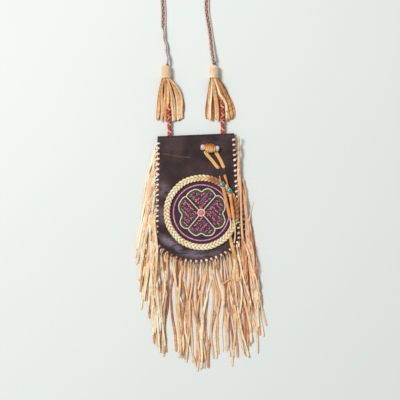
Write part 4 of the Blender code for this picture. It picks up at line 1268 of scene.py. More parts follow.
def makeLacing(body, edge):
    look = lacing[body]
    name = body + "Lacing"
    shape = stitchShape(name + "Stitch", look["low"], look["high"])
    run = edge.length - 2 * look["start"]
    count = round(run / lacing["pitch"])
    chance = random.Random(look["seed"])
    places, turns, sizes, tones = [], [], [], []
    for k in range(count + 1):
        spot, outward = edge.at(look["start"] + run * k / count + chance.uniform(-0.0006, 0.0006))
        if spot.y > look["top"]:
            continue
        places.append((spot.x, spot.y, 0))
        turns.append((0, 0, math.atan2(outward.y, outward.x) + chance.uniform(-0.12, 0.12)))
        sizes.append((1, chance.uniform(0.85, 1.2), 1))
        brown = body == "flap" and -0.09 < spot.x < -0.04 and spot.y < -0.08
        tones.append(chance.uniform(0.0, 0.3) if brown else chance.uniform(0.45, 1.0))
    made = scattered(name, shape, places, turns, sizes, stripFinish["lace"], 0.0, look["seed"], tone=tones)
    settle(made, body, "cream_lace", body + "_lacing")


# Fringe: loose strands that lie over one another down to the table

fringe = {
    "width": 0.005, "thickness": 0.0014, "step": 0.0035, "length": 0.222, "lengths": (0.87, 1.03),
    "root": 0.74, "sizes": (0.74, 1.08), "low": {"pouch": 0.0037, "flap": 0.0106}, "sewn": 0.0035,
    "clear": 0.002, "curl": 44, "spin": 24, "arch": (-0.003, 0.002), "steepest": 0.6,
    "strays": 0.22, "nearTip": 0.014, "cell": 0.0012, "sinks": 0.0026, "leastGive": 0.24,
    "tips": [(133, 293), (137.8, 319), (143, 310), (148.5, 319), (150.8, 354), (160.8, 357), (147.4, 348),
             (173, 352), (175.8, 344), (185, 359), (194, 372), (199, 363), (204.7, 368), (212.4, 368),
             (213.6, 359), (222.4, 350), (231.9, 359), (235.8, 367), (237.4, 358), (246.9, 357), (254, 354),
             (259.7, 345), (263, 337), (258.6, 336), (268, 343)],
    "lowest": [(100, 330), (146, 346), (151, 355), (173, 353), (186, 360), (194, 372), (213, 368), (219, 357),
               (227, 353), (236, 367), (247, 357), (254, 353), (268, 343), (300, 330)],
    "leftmost": [(128, 200), (131, 242), (134, 262), (139, 290), (145, 304), (150, 314), (153, 340),
                 (162, 352), (176, 358)],
}
# slopes: a strand's way sideways for each way down, against its share of the outline
# extra: strands that follow the picture, each a route in pixels of the frame, a tone, a size and a height
# the pouch's bottom and left strands lie under the flap's and have darker tones than those: painted shade under the
# upper strands
pouchStrands = {
    "Bottom": {
        "count": 28, "spread": 0.052, "stray": 0.14, "sway": 0.01, "tones": (0.1, 0.85),
        "finish": "fringeRight", "run": lambda side, whole: (side + 0.01, whole - side - 0.01),
        "slopes": [(0, -0.2), (0.34, -0.15), (0.42, -0.07), (0.5, -0.02), (0.58, 0.03), (0.68, 0.13),
                   (1.0, 0.15)]},
    "Left": {
        "count": 25, "spread": 0.022, "stray": 0.07, "sway": 0.006, "tones": (0.15, 0.9),
        "finish": "fringeLeft", "run": lambda side, whole: (0.03, side + 0.008),
        "slopes": [(0, -0.24), (0.06, -0.21), (0.12, -0.16), (0.2, -0.12), (0.27, -0.06), (0.34, -0.01),
                   (1.0, 0.1)]},
    "Right": {
        "count": 15, "spread": 0.026, "stray": 0.05, "sway": 0.0045, "tones": (0.3, 1.0),
        "finish": "fringeRight", "run": lambda side, whole: (whole - side - 0.008, whole - 0.088),
        "slopes": [(0.5, 0.09), (0.66, 0.13), (0.78, 0.085), (1.0, 0.05)], "seed": 77,
        "extra": [
            ([(243.0, 179), (244.2, 184), (245.4, 190), (246.2, 200), (246.4, 215), (246.2, 230),
              (247.4, 250), (250.5, 275), (253, 300)], 0.62, 0.8, 0.005),
            ([(251.5, 222), (254.0, 236), (255.6, 252), (256.9, 266), (259, 285), (262, 305)],
             0.45, 0.55, 0.0001),
            ([(253.4, 202), (252.4, 207), (250.2, 215), (248.4, 225), (248.3, 236.7), (251.0, 247),
              (251.9, 258.3), (255.6, 275), (259, 292), (262.5, 312)], 1.0, 0.55, 0.0001)]},
}
flapStrands = {
    "Bottom": {
        "count": 30, "spread": 0.052, "stray": 0.15, "sway": 0.01, "root": 0.52, "tones": (0.25, 1.0),
        "finish": "fringeLeft", "run": lambda side, whole: (side + 0.009, whole - side - 0.009),
        "slopes": [(0, -0.2), (0.34, -0.1), (0.42, -0.03), (0.5, 0.0), (0.6, 0.03), (0.7, 0.075),
                   (1.0, 0.12)],
        "seed": 79, "extra": [
            ([(216.6, 262), (218.0, 270), (220.2, 278), (222.5, 284.2), (225.6, 282.4), (230.6, 279.4),
              (233.2, 283), (233.4, 298), (234.5, 322)], 0.32, 0.95, 0.0115)]},
    "Left": {
        "count": 28, "spread": 0.022, "stray": 0.07, "sway": 0.006, "tones": (0.5, 1.0),
        "finish": "fringeLeft", "run": lambda side, whole: (0.004, side + 0.007),
        "slopes": [(0, -0.25), (0.05, -0.21), (0.1, -0.165), (0.2, -0.11), (0.27, -0.05), (0.34, 0.0),
                   (1.0, 0.1)]},
    "Right": {
        "count": 3, "spread": 0.01, "stray": 0.0, "sway": 0.003, "tones": (0.3, 0.7),
        "finish": "fringeRight", "run": lambda side, whole: (whole - side + 0.01, whole - 0.12),
        "slopes": [(0.5, 0.04), (1.0, 0.05)], "seed": 78,
        "extra": [
            ([(238.2, 146), (239.0, 158), (239.4, 172), (240.4, 188), (240.9, 205), (241.4, 222),
              (242.6, 238), (247.6, 251.7), (251.6, 268), (255.8, 279), (258, 300)], 0.62, 0.95, 0.0165),
            ([(236.6, 136.3), (238.3, 138.0), (238.8, 145), (238.7, 158), (238.2, 172), (237.9, 190),
              (237.9, 215), (238.2, 232), (238.7, 247)], 0.72, 1.1, 0.0165),
            ([(236.2, 243), (237.4, 249), (239.4, 259.5), (243.6, 279), (248.2, 292.5), (250.8, 305),
              (253.5, 332)], 1.0, 0.85, 0.013)]},
}
freeTips = [fromPixel(*tip) for tip in fringe["tips"]]
lowestTips = [tuple(fromPixel(*place)) for place in fringe["lowest"]]
leftmostTips = [(-spot.y, spot.x) for spot in (fromPixel(*place) for place in fringe["leftmost"])]


def tableValue(table, share):
    for (a, low), (b, high) in zip(table, table[1:]):
        if share <= b:
            return mix(low, high, (share - a) / (b - a))
    return table[-1][1]


class Pile:
    # the height of everything laid so far, on a fine grid
    def __init__(self, low, high, cell):
        self.low = low
        self.cell = cell
        self.grid = np.zeros((int((high[1] - low[1]) / cell) + 2, int((high[0] - low[0]) / cell) + 2))
        self.floor = self.grid.copy()

    def raiseTo(self, edge, out, height):
        # the whole of an outline at one height
        rows, columns = self.grid.shape
        field = [(self.low[0] + (c + 0.5) * self.cell, self.low[1] + (r + 0.5) * self.cell)
                 for r in range(rows) for c in range(columns)]
        layer = np.where(edge.distances(field).reshape(rows, columns) < out, height, 0)
        self.grid = np.maximum(self.grid, layer)
        return layer

    def cells(self, point, side, half, shares):
        # the cells under a strand's width
        rows, columns = self.grid.shape
        for shift in (half * share for share in shares):
            x, y = point.x + side.x * shift, point.y + side.y * shift
            yield (min(max(int((y - self.low[1]) / self.cell), 0), rows - 1),
                   min(max(int((x - self.low[0]) / self.cell), 0), columns - 1))

    def under(self, point, side, half):
        return max(self.grid[spot] for spot in self.cells(point, side, half, (-1, -0.35, 0.35, 1)))

    def cover(self, point, side, half, top):
        for spot in self.cells(point, side, half, (-1, -0.5, 0, 0.5, 1)):
            before = self.grid[spot]
            # strands sink between those under them, more so in a deep pile
            deep = max(before - self.floor[spot], 0) / fringe["sinks"]
            give = max(fringe["leastGive"], 1 / (1 + deep ** 2))
            self.grid[spot] = max(before, before + (top - before) * give)


def layStrand(route, chance, low, half, tone, fixed=2, twist=1.0, root=fringe["root"], size=1.0):
    # a strand over what already lies there, with its start held at the height of its seam
    count = len(route)
    thick = fringe["thickness"]
    sides = [Vector((-t.y, t.x, 0)) for t in tangents([raised(p) for p in route])]
    seed = chance.uniform(0, 100)
    spin = chance.uniform(-1, 1)
    rolls = []
    for k in range(count):
        share = k / count
        turn = fringe["curl"] * slow(share * 2.4, seed, 1.0, 2.0) * twist
        turn += fringe["spin"] * spin * share * twist
        rolls.append(math.radians(turn * smoothStep((k - fixed) / 7)))
    arch = max(0, chance.uniform(*fringe["arch"])) * twist
    need = []
    for k, (point, side, roll) in enumerate(zip(route, sides, rolls)):
        tilt = abs(math.sin(roll)) * half
        lifted = max(pile.under(point, side, half) + 0.0003 + tilt * 0.42, tilt * 1.2 + 0.0001)
        need.append(thick / 2 + lifted + arch * math.sin(math.pi * k / count) ** 2)
    height = [low + thick / 2] * (fixed + 1) + need[fixed + 1:]
    for k in range(fixed + 1, count):
        height[k] = max(height[k], height[k - 1] - fringe["steepest"] * (route[k] - route[k - 1]).length)
    for k in range(count - 2, fixed, -1):
        height[k] = max(height[k], height[k + 1] - fringe["steepest"] * (route[k + 1] - route[k]).length)
    for _ in range(2):
        smooth = [(a + 2 * b + c) / 4 for a, b, c in zip(height, height[1:], height[2:])]
        smooth = [height[0], *smooth, height[-1]]
        height = [h if k <= fixed else max(s, n) for k, (h, s, n) in enumerate(zip(height, smooth, need))]
    points = [raised(p, h) for p, h in zip(route, height)]
    for point, side, roll in list(zip(points, sides, rolls))[fixed + 1:]:
        pile.cover(point, side, half, point.z + thick / 2 + abs(math.sin(roll)) * half * 0.35)
    wide, tones = [], []
    for share in (k / (count - 1) for k in range(count)):
        wide.append(size * (eased(root, 1, share / 0.25) + 0.2 * slow(share * 3, seed, 1.0, 9.0))
                    * (1 - 0.35 * smoothStep((share - 0.975) / 0.03)))
        tones.append(clamp(tone + 0.2 * smoothStep((share - 0.6) / 0.4) + 0.2 * slow(share * 3, seed, 1, 4)))
    return {"points": points, "facing": leaning(sides, points, rolls), "tone": tones, "wide": wide}


def strandRoute(edge, distance, tip, chance, sway):
    # in the plane: out through the lacing, round toward its tip and on with a slow sway
    start, outward = edge.at(distance, -fringe["sewn"])
    first, _ = edge.at(distance, fringe["clear"])
    turned = first + outward * 0.003 + (tip - first).normalized() * 0.005
    line = [start, first, turned]
    seed = chance.uniform(0, 200)
    way = tip - turned
    across = Vector((-way.y, way.x)).normalized()
    steps = max(4, round(way.length / fringe["step"]))
    for share in (k / steps for k in range(1, steps + 1)):
        swing = sway * (slow(share * 1.6, seed, 1.0, 1.0) * 1.7 + 0.22 * slow(share * 4.4, seed, 1.0, 6.0))
        line.append(turned + way * share + across * swing * smoothStep(share / 0.35))
    return [raised(p) for p in [*smoothLine([raised(p) for p in line[:6]], 0.0022), *line[6:]]]


def strandTip(edge, distance, look, chance):
    # where a strand ends: by its slope, within the fringe's outline, on a tip that was seen if one is near
    root, outward = edge.at(distance, fringe["clear"])
    slope = tableValue(look["slopes"], distance / edge.length) + chance.gauss(0, look["spread"])
    if chance.random() < fringe["strays"]:
        slope += chance.uniform(-1, 1) * look["stray"]
    length = fringe["length"] * chance.uniform(*fringe["lengths"])
    tip = root + Vector((slope, -1)).normalized() * length + outward * 0.003
    limit = tableValue(lowestTips, tip.x)
    if tip.y < limit:
        tip = root.lerp(tip, (root.y - limit) / (root.y - tip.y) * chance.uniform(0.965, 1.0))
    tip.x = max(tip.x, tableValue(leftmostTips, -tip.y) + chance.uniform(0, 0.006))
    near = [t for t in freeTips if (t - tip).length < fringe["nearTip"]]
    if near:
        tip = min(near, key=lambda t: (t - tip).length)
        freeTips.remove(tip)
    return tip


def makeFringe(body, part, edge, look):
    name = body + "Fringe" + part
    low = fringe["low"][body]
    chance = random.Random(name)
    order = list(range(look["count"]))
    chance.shuffle(order)
    paths = []
    for k in order:
        share = (k + 0.5 + chance.uniform(-0.22, 0.22)) / look["count"]
        distance = mix(*look["run"](edge.side, edge.length), share)
        tip = strandTip(edge, distance, look, chance)
        route = strandRoute(edge, distance, tip, chance, look["sway"])
        tone = chance.uniform(*look["tones"])
        size = chance.uniform(*fringe["sizes"])
        paths.append(layStrand(route, chance, low, fringe["width"] / 2 * size, tone,
                               root=look.get("root", fringe["root"]), size=size))
    if "extra" in look:
        chance = random.Random(look["seed"])
        for places, tone, size, first in look["extra"]:
            paths.append(layStrand(pixelLine(places, 0.0034), chance, first, fringe["width"] / 2 * size, tone,
                                   size=size))
    made = ribbons(name, paths, fringe["width"], fringe["thickness"], look["finish"])
    settle(made, body, "tan_leather", body + "_fringe_" + part.lower())


makeBagLeather()
makePouchFront()
print("Leather made")
makeLacing("pouch", pouchEdge)
makeLacing("flap", flapEdge)
print("Lacing made")
pile = Pile((-0.165, -0.375), (0.165, 0.14), fringe["cell"])
for part, look in pouchStrands.items():
    makeFringe("pouch", part, pouchEdge, look)
# the pouch's own body, which the flap's strands lie over
pile.floor = pile.raiseTo(pouchEdge, 0.0016, 0.009)
for part, look in flapStrands.items():
    makeFringe("flap", part, flapEdge, look)
pile.raiseTo(flapEdge, 0.0022, 0.0156)
print("Fringe made")


# Tassels: a cap, three layers of cut strips, a knot, and the braided drop that joins them to the fold

tassel = {
    "left": {"cap": (-0.0559, 0.2425), "lean": 0.0085, "hole": -0.0535, "sag": 0.0012, "seed": 5,
             "shown": 0.19, "bulge": 0.007, "seam": 62,
             "knotAt": (0.003, 0.0008, 0.0262), "knotSize": 0.7},
    "right": {"cap": (0.04, 0.2385), "lean": 0.0125, "hole": 0.0525, "sag": 0.0072, "seed": 9,
              "shown": 0.202, "bulge": 0.0, "seam": 118,
              "knotAt": (0.0004, 0.0, 0.0292), "knotSize": 0.88},
    "turn": -2.4, "capRadius": 0.01, "capLength": 0.025, "skirt": 0.084, "half": 0.029, "steps": 26,
    # the lower layers take darker tones: painted shade under the upper strips
    "layers": [{"count": 8, "low": 0.0011, "root": -0.0055, "spread": 1.0, "tone": 0.12},
               {"count": 7, "low": 0.0026, "root": 0.0000, "spread": 0.94, "tone": 0.46},
               {"count": 8, "low": 0.005, "root": 0.0052, "spread": 0.96, "tone": 0.74}],
    "mouth": (0.0082, 0.0074), "lengths": (0.93, 1.02), "bow": 0.0016, "lift": 26,
    "overDrop": 0.0142, "besideDrop": 0.0076, "overlap": 0.001,
    "stripNarrow": 0.003, "stripWide": 0.0064, "stripThick": 0.0011, "knot": 0.0046,
    "dropRadius": 0.0032, "dropStrip": 0.0039, "dropThick": 0.0013, "dropPitch": 0.015, "dropWeave": 0.00052,
}


def capFrame(side):
    # from a cap's own frame, Z toward the strap and Y away from the table, to its place
    lying = Matrix.Rotation(math.radians(tassel["turn"]), 4, "Z") @ Matrix.Rotation(-math.pi / 2, 4, "X")
    return Matrix.Translation(raised(tassel[side]["cap"], tassel["capRadius"])) @ lying


def lathe(name, profile, steps, shift=lambda angle, height: 0):
    # a profile of (radius, height) from the top down, turned round Z, closed at its ends on the axis
    places, faces, rows = [], [], []
    for radius, height in profile:
        turns = steps if radius else 1
        rows.append(list(range(len(places), len(places) + turns)))
        for angle in (math.tau * j / steps for j in range(turns)):
            places.append((*polar(angle, radius + shift(angle, height) if radius else 0), height))
    for upper, lower in zip(rows, rows[1:]):
        for j in range(steps):
            after = (j + 1) % steps
            if len(upper) == 1:
                faces.append((upper[0], lower[j], lower[after]))
            elif len(lower) == 1:
                faces.append((upper[j], lower[0], upper[after]))
            else:
                faces.append((upper[j], lower[j], lower[after], upper[after]))
    return meshWith(name, places, (), faces)


def placed(mesh, matrix, name, material):
    mesh.transform(matrix)
    mesh.materials.append(material)
    softened(mesh)
    return linked(bpy.data.objects.new(name, mesh))


def dropLine(side):
    look = tassel[side]
    end = capFrame(side) @ Vector((0, 0, 0.014))
    start = Vector((look["hole"], fold["top"] + 0.0045, fold["radius"]))
    middle = start.lerp(end, 0.5) + Vector((look["sag"], 0, 0.0004))
    return smoothLine([start, middle, end], 0.0009)


def makeDrop(side):
    # two pairs of strips wound opposite ways, which go over and under one another
    line = dropLine(side)
    paths = []
    for lead, tone in enumerate((0.25, 0.85, 0.45, 0.65)):
        way = 1 if lead < 2 else -1
        half = math.pi * (lead % 2)
        phase = half + (0 if way == 1 else math.pi / 2)
        points, facing = [], []
        for point, tangent, w in zip(line, tangents(line), walkedLengths(line)):
            across = squareTo(tangent.cross(up), tangent)
            angle = way * math.tau * w / tassel["dropPitch"] + phase
            weave = tassel["dropWeave"] * way * math.cos(4 * math.pi * w / (tassel["dropPitch"] / 2) + half)
            out = across * math.cos(angle) + across.cross(tangent) * math.sin(angle)
            points.append(point + out * (tassel["dropRadius"] + weave))
            facing.append(out)
        paths.append({"points": points, "facing": squared(facing, points), "tone": tone})
    made = ribbons("drop_" + side, paths, tassel["dropStrip"], tassel["dropThick"], "redBraid")
    settle(made, "pouch", "red_braid", "drop_" + side)


def makeKnot(name, centre, size, axis, finish, slotName, node, tone):
    # a small overhand knot of a thick cord
    centre = Vector(centre)
    axis = axis.normalized()
    first = squareTo(axis.cross(up), axis)
    second = axis.cross(first)
    points = []
    for k in range(60):
        t = math.tau * k / 60
        a = size * 0.3 * (math.sin(t) + 2 * math.sin(2 * t)) * 0.72
        b = size * 0.3 * (math.cos(t) - 2 * math.cos(2 * t)) * 0.72
        c = -size * 0.42 * math.sin(3 * t)
        points.append(centre + first * a + second * b + axis * c)
    facing = squared([p - centre + axis * 0.0001 for p in points], points, True)
    path = {"points": points, "facing": facing, "tone": tone, "closed": True}
    made = ribbons(name, [path], size * 0.72, size * 0.72, finish, roundProfile)
    settle(made, "pouch", slotName, node)


def makeCap(side):
    # a wide strip of leather rolled round the tassel's head, its end overlapping in front
    radius = tassel["capRadius"]
    long = tassel["capLength"]
    seam = math.radians(tassel[side]["seam"])
    overlap = tassel["overlap"]

    def shift(angle, height):
        turn = (angle - seam) % math.tau / math.tau
        grow = mix(0.0, -overlap, turn / 0.03) if turn < 0.03 else -overlap + overlap * turn
        return grow - 0.0003 * math.exp(-((height - 0.0035) / 0.0012) ** 2)

    shoulder = (0.0094, long - 0.006)
    profile = [(0, long), (0.003, long), (0.0058, long - 0.0003), (0.0078, long - 0.0012),
               (0.0089, long - 0.003), shoulder]
    profile += [(mix(shoulder[0], radius, k / 11), mix(shoulder[1], 0.0006, k / 11)) for k in range(1, 12)]
    profile += [(radius - 0.0002, 0.0001), (radius - 0.0008, -0.0001), (radius - 0.0016, 0.0006),
                (radius - 0.0018, 0.006), (0, 0.0065)]
    mesh = lathe("tassel_cap_" + side, profile, 72, shift)
    made = placed(mesh, capFrame(side), "capWrap_" + side, capLeather)
    settle(made, "pouch", "tan_leather", "tassel_cap_" + side)


def skirtStrip(look, layer, depth, k, line, chance):
    # one strip of a tassel: out of the cap, fanned out and down to the table, clear of the drop
    steps = tassel["steps"]
    turn = Matrix.Rotation(math.radians(tassel["turn"]), 2)
    base = Vector(look["cap"])
    beside = lambda y: min(line, key=lambda q: abs(q.y - y)).x
    u = -1 + 2 * (k + 0.5) / layer["count"] + chance.uniform(-0.06, 0.06)
    length = tassel["skirt"] * chance.uniform(*tassel["lengths"])
    deep, wide = tassel["mouth"]
    rootX = u * (math.sqrt(max(0.0, 1 - (layer["root"] / deep) ** 2)) * wide)
    tipX = u * tassel["half"] * layer["spread"] + look["lean"] + chance.uniform(-0.0018, 0.0018)
    bulge = look["bulge"] * max(u, 0) ** 1.5
    bow = chance.uniform(-tassel["bow"], tassel["bow"])
    end = base + turn @ Vector((tipX, -length))
    way = 1 if end.x >= beside(end.y) else -1
    points = []
    for j in range(-2, steps + 1):
        share = max(j, 0) / steps
        down = share * length if j >= 0 else j * 0.0035
        across = mix(rootX, tipX, 1 - (1 - share) ** 1.9)
        across += bulge * math.sin(math.pi * min(share * 1.15, 1)) * 1.1
        across += bow * math.sin(math.pi * 2 * share)
        spot = base + turn @ Vector((across, -down))
        low = layer["low"] + 0.0035 * (1 - abs(u)) * (depth / 2) * math.sin(math.pi * min(share, 0.85))
        height = eased(tassel["capRadius"] + layer["root"], low + 0.0008, share / 0.55)
        if depth:
            # over the drop at first, then parting to one side of it
            gap = spot.x - beside(spot.y)
            over = math.exp(-(gap / 0.0062) ** 2) * smoothStep((share - 0.02) / 0.2)
            parted = smoothStep((look["shown"] + 0.006 - spot.y) / 0.026)
            height = max(height, mix(height, tassel["overDrop"], over * (1 - parted)))
            spot.x += way * max(0, tassel["besideDrop"] - way * gap) * parted
        points.append(raised(spot, height))
    lift = math.radians(chance.uniform(-tassel["lift"], tassel["lift"]))
    lean = [u * 0.5 * (1 - smoothStep(j / 14)) - lift * smoothStep(j / 12) for j in range(len(points))]
    sides = [squareTo(t.cross(up), t) for t in tangents(points)]
    narrow = tassel["stripNarrow"] / tassel["stripWide"]
    widths = [eased(narrow, 1, (j - 2) / 16) * (1 if j < steps + 1 else 0.8) for j in range(len(points))]
    tone = layer["tone"] + chance.uniform(-0.38, 0.38)
    return {"points": points, "facing": leaning(sides, points, lean), "wide": widths,
            "tone": [clamp(tone + 0.25 * (j / steps - 0.5)) for j in range(len(points))]}


def makeSkirt(side):
    look = tassel[side]
    chance = random.Random(look["seed"])
    line = dropLine(side)
    paths = [skirtStrip(look, layer, depth, k, line, chance) for depth, layer in enumerate(tassel["layers"])
             for k in range(layer["count"])]
    made = ribbons("skirt_" + side, paths, tassel["stripWide"], tassel["stripThick"], "tassel")
    settle(made, "pouch", "tan_leather", "tassel_skirt_" + side)


for side in ("left", "right"):
    makeDrop(side)
    makeCap(side)
    makeSkirt(side)
    look = tassel[side]
    cap = capFrame(side)
    makeKnot("strapKnot_" + side, cap @ Vector(look["knotAt"]), tassel["knot"] * look["knotSize"],
             cap.to_3x3() @ up, "cordDark", "strap_braid", "strap_knot_" + side, 0.3)
    makeKnot("dropKnot_" + side, (look["hole"], fold["top"], fold["radius"]), tassel["knot"],
             Vector((0, 1, 0)), "redBraid", "red_braid", "drop_knot_" + side, 0.4)
print("Tassels made")


# Medallion: an embroidered disc with a four-petalled flower, inside a braided ring of lace

medallion = {
    "centre": (201.3, 212.7), "radius": 0.0675, "base": 0.0142, "top": 0.0154,
    "petals": [
        [(-15.1, 16.2), (-13.4, 19.0), (-10.9, 21.2), (-6.4, 23.2), (-2.6, 22.6), (0.2, 21.0), (3.0, 22.9),
         (6.9, 24.0), (10.8, 21.8), (13.4, 18.6), (14.4, 16.8)],
        [(14.4, 16.8), (18.0, 16.6), (21.9, 13.4), (23.6, 7.9), (23.4, 3.2), (21.4, -0.4), (23.0, -4.9),
         (23.6, -9.0), (20.8, -13.8), (16.9, -15.6), (13.6, -15.7)],
        [(13.6, -15.7), (13.0, -19.3), (9.7, -22.5), (4.2, -22.8), (0.0, -20.6), (-4.8, -22.8),
         (-8.7, -21.0), (-12.0, -17.9), (-12.8, -15.7)],
        [(-12.8, -15.7), (-17.0, -15.2), (-20.3, -12.1), (-20.9, -7.7), (-19.2, -2.2), (-21.8, 2.3),
         (-22.3, 7.9), (-19.8, 12.9), (-17.2, 15.6), (-15.1, 16.2)],
    ],
    "outline": {"long": 0.0024, "pitch": 0.00075, "high": 0.0008,
                "shades": [(246, 240, 202), (253, 249, 222), (236, 236, 186), (255, 244, 214)]},
    "rim": {"radius": 27.8, "parts": 60, "long": 0.0027, "pitch": 0.0008, "high": 0.0008,
            "shades": [(230, 150, 190), (242, 176, 206), (216, 130, 176), (246, 190, 214)]},
    "halo": {"radius": 3.3, "parts": 24, "long": 0.0034, "pitch": 0.0008, "high": 0.0009,
             "shades": [(255, 222, 192), (255, 234, 208), (246, 208, 174)]},
    "border": {"count": 160, "rows": [(0.0022, 0.0024), (0.0037, 0.0024), (0.0051, 0.0022)],
               "wide": 0.0009, "high": 0.00045, "heart": 0.0095,
               "shades": [(52, 62, 42), (68, 80, 54), (46, 54, 42), (80, 88, 68)]},
    "zigzag": {"pitch": 0.0031, "wave": 0.0048, "swing": 0.003, "bend": 0.002, "inset": 0.0052,
               "wide": 0.0013, "high": 0.0006,
               "shades": [[(184, 148, 168), (150, 116, 146)], [(134, 34, 70), (110, 28, 60)],
                          [(236, 146, 142), (246, 172, 158)], [(156, 44, 80), (128, 34, 68)],
                          [(192, 124, 138), (122, 60, 108)]]},
    "heart": {"count": 26, "radius": 0.0024, "size": (0.0046, 0.0012, 0.0009), "rise": 0.0002,
              "shades": [(248, 140, 124), (252, 160, 140), (238, 120, 110)]},
    "knot": {"size": (0.0022, 0.0022, 0.0012), "rise": 0.0005, "shade": (214, 78, 80)},
    "veinLong": 0.0022, "veinShare": 0.84,
}
local = lambda u, v: fromPixel(medallion["centre"][0] + u, medallion["centre"][1] - v)
middleSpot = local(0, 0)


def stitchMesh():
    # one satin stitch of unit length along X, its lower half flat
    places = [(-0.5, 0, 0.1)]
    for x in (-0.36, 0.36):
        places += [(x, 0.5, 0.0), (x, 0.34, 0.62), (x, 0, 0.9), (x, -0.34, 0.62), (x, -0.5, 0.0)]
    places.append((0.5, 0, 0.1))
    faces = []
    for k in range(5):
        after = (k + 1) % 5
        faces += [(0, 1 + after, 1 + k), (1 + k, 1 + after, 6 + after, 6 + k), (11, 6 + k, 6 + after)]
    return linked(bpy.data.objects.new("satinStitch", meshWith("satinStitch", places, (), faces)))


class Embroidery:
    def __init__(self, seed):
        self.chance = random.Random(seed)
        self.places, self.turns, self.sizes, self.shades = [], [], [], []

    def add(self, centre, angle, length, width, height, shade, level):
        red, green, blue = (min(c * self.chance.uniform(0.9, 1.08), 255) for c in shade)
        self.places.append((centre.x, centre.y, level))
        self.turns.append((0, 0, angle + self.chance.uniform(-0.09, 0.09)))
        self.sizes.append((length, width, height))
        self.shades.append(screenColour(red, green, blue))

    def across(self, line, look, level, long=None):
        # satin stitches side by side across a line
        spots = smoothLine(line, look["pitch"])
        for spot, run in zip(spots, tangents(spots)):
            length = (long or look["long"]) * self.chance.uniform(0.92, 1.08)
            self.add(spot, math.atan2(run.x, -run.y) + 0.25, length, look["pitch"] * 1.25, look["high"],
                     self.chance.choice(look["shades"]), level)


def insetDistance(point, ring):
    # how deep a point lies inside a ring of points, negative outside
    depths = []
    for a, b in looped(ring):
        share = clamp((point - a).dot(b - a) / max((b - a).length_squared, 1e-12))
        depths.append((point - a - (b - a) * share).length)
    return min(depths) if insideRing(*point, ring) else -min(depths)


def borderStitches(work, ring, deep, level):
    # a dark border just inside the outline, and down both straight sides
    look = medallion["border"]
    total = [*ring, ring[0]]
    walk = []
    for k in range(look["count"]):
        spot = k / look["count"] * (len(total) - 1)
        walk.append(total[int(spot)].lerp(total[int(spot) + 1], spot - int(spot)))
    for depth, length in look["rows"]:
        for a, b in zip(walk, walk[1:]):
            if (b - a).length < 1e-5:
                continue
            run = (b - a).normalized()
            side = Vector((-run.y, run.x))
            if side.dot(deep - a) < 0:
                side = -side
            spot = (a + b) / 2 + side * depth
            if insetDistance(spot, ring) < depth * 0.8 or (spot - middleSpot).length < look["heart"]:
                continue
            work.add(spot, math.atan2(run.y, run.x) + 0.6, length, look["wide"], look["high"],
                     work.chance.choice(look["shades"]), level - 0.0001)


def zigzagStitches(work, ring, forward, over, level):
    # zigzag rows that run out along one straight side, their colour changing from row to row
    look = medallion["zigzag"]
    for row in range(15):
        for step in range(12):
            for half, ends in ((0, (0.0, look["swing"])), (0.5, (look["swing"], 0.0))):
                out = (step + half) * look["wave"]
                bend = look["bend"] * slow(row * 0.9, step * 0.7, 1.0, 12.0)
                a, b = (middleSpot + over * (row * look["pitch"] + end + bend) + forward * far
                        for end, far in zip(ends, (out, out + look["wave"] / 2)))
                spot = (a + b) / 2
                if insetDistance(spot, ring) < look["inset"] or work.chance.random() < 0.06:
                    continue
                run = b - a
                shade = work.chance.choice(look["shades"][row % 5])
                if work.chance.random() < 0.2:
                    shade = work.chance.choice(look["shades"][work.chance.randrange(5)])
                work.add(spot, math.atan2(run.y, run.x), run.length * 1.05, look["wide"], look["high"], shade,
                         level)


def makeMedallion():
    work = Embroidery(31)
    level = medallion["top"] - 0.00005
    for petal in medallion["petals"]:
        line = [local(*p) for p in petal]
        flat = [raised(p) for p in line]
        ring = [middleSpot, *(p.xy for p in smoothLine(flat, 0.001))]
        work.across(flat, medallion["outline"], level)
        end = line[-1].lerp(middleSpot, medallion["veinShare"])
        vein = [raised(p) for p in (line[-1], line[-1].lerp(end, 0.5), end)]
        work.across(vein, medallion["outline"], level, medallion["veinLong"])
        outward = ((line[0] + line[-1]) / 2 - middleSpot).normalized()
        across = Vector((-outward.y, outward.x))
        borderStitches(work, ring, line[0].lerp(line[-1], 0.5) + outward * 0.004, level)
        zigzagStitches(work, ring, (outward - across).normalized(), (outward + across).normalized(), level)
    for part, rise in (("rim", 0), ("halo", 0.0001)):
        look = medallion[part]
        angles = [math.tau * k / look["parts"] for k in range(look["parts"] + 1)]
        work.across([raised(local(*polar(angle, look["radius"]))) for angle in angles], look, level + rise)
    heart, knot = medallion["heart"], medallion["knot"]
    for angle in (math.tau * k / heart["count"] for k in range(heart["count"])):
        work.add(middleSpot + Vector(polar(angle)) * heart["radius"], angle, *heart["size"],
                 work.chance.choice(heart["shades"]), level + heart["rise"])
    work.add(middleSpot, 0.3, *knot["size"], knot["shade"], level + knot["rise"])
    stitches = scattered("embroidery", stitchMesh(), work.places, work.turns, work.sizes, silkThread, 0.04, 4,
                         thread=work.shades)
    radius, top, base = medallion["radius"], medallion["top"], medallion["base"]
    profile = [(0, top), *[(radius * k / 14, top) for k in range(1, 14)], (radius - 0.0006, top - 0.00005),
               (radius, top - 0.0004), (radius, base + 0.0003), (radius - 0.0004, base), (0, base)]
    ground = placed(lathe("medallionGround", profile, 96), Matrix.Translation(raised(discCentre)),
                    "medallionGround", groundCloth)
    settle(joined("medallionCloth", ground, stitches), "flap", "embroidered_cloth", "medallion")


braid = {"radius": 0.069, "swing": 0.0043, "rise": 0.0015, "level": 0.0178, "width": 0.005,
         "thickness": 0.0013, "bights": 56, "steps": 1680, "start": 0.6, "waver": 0.0006,
         "tailWidth": 0.0066, "tailHeight": 0.0185, "tailTwist": 0.4,
         "tail": [(228.9, 231.9), (229.9, 235.6), (231.8, 245), (234.8, 256.7), (236.9, 268), (237.6, 281)]}


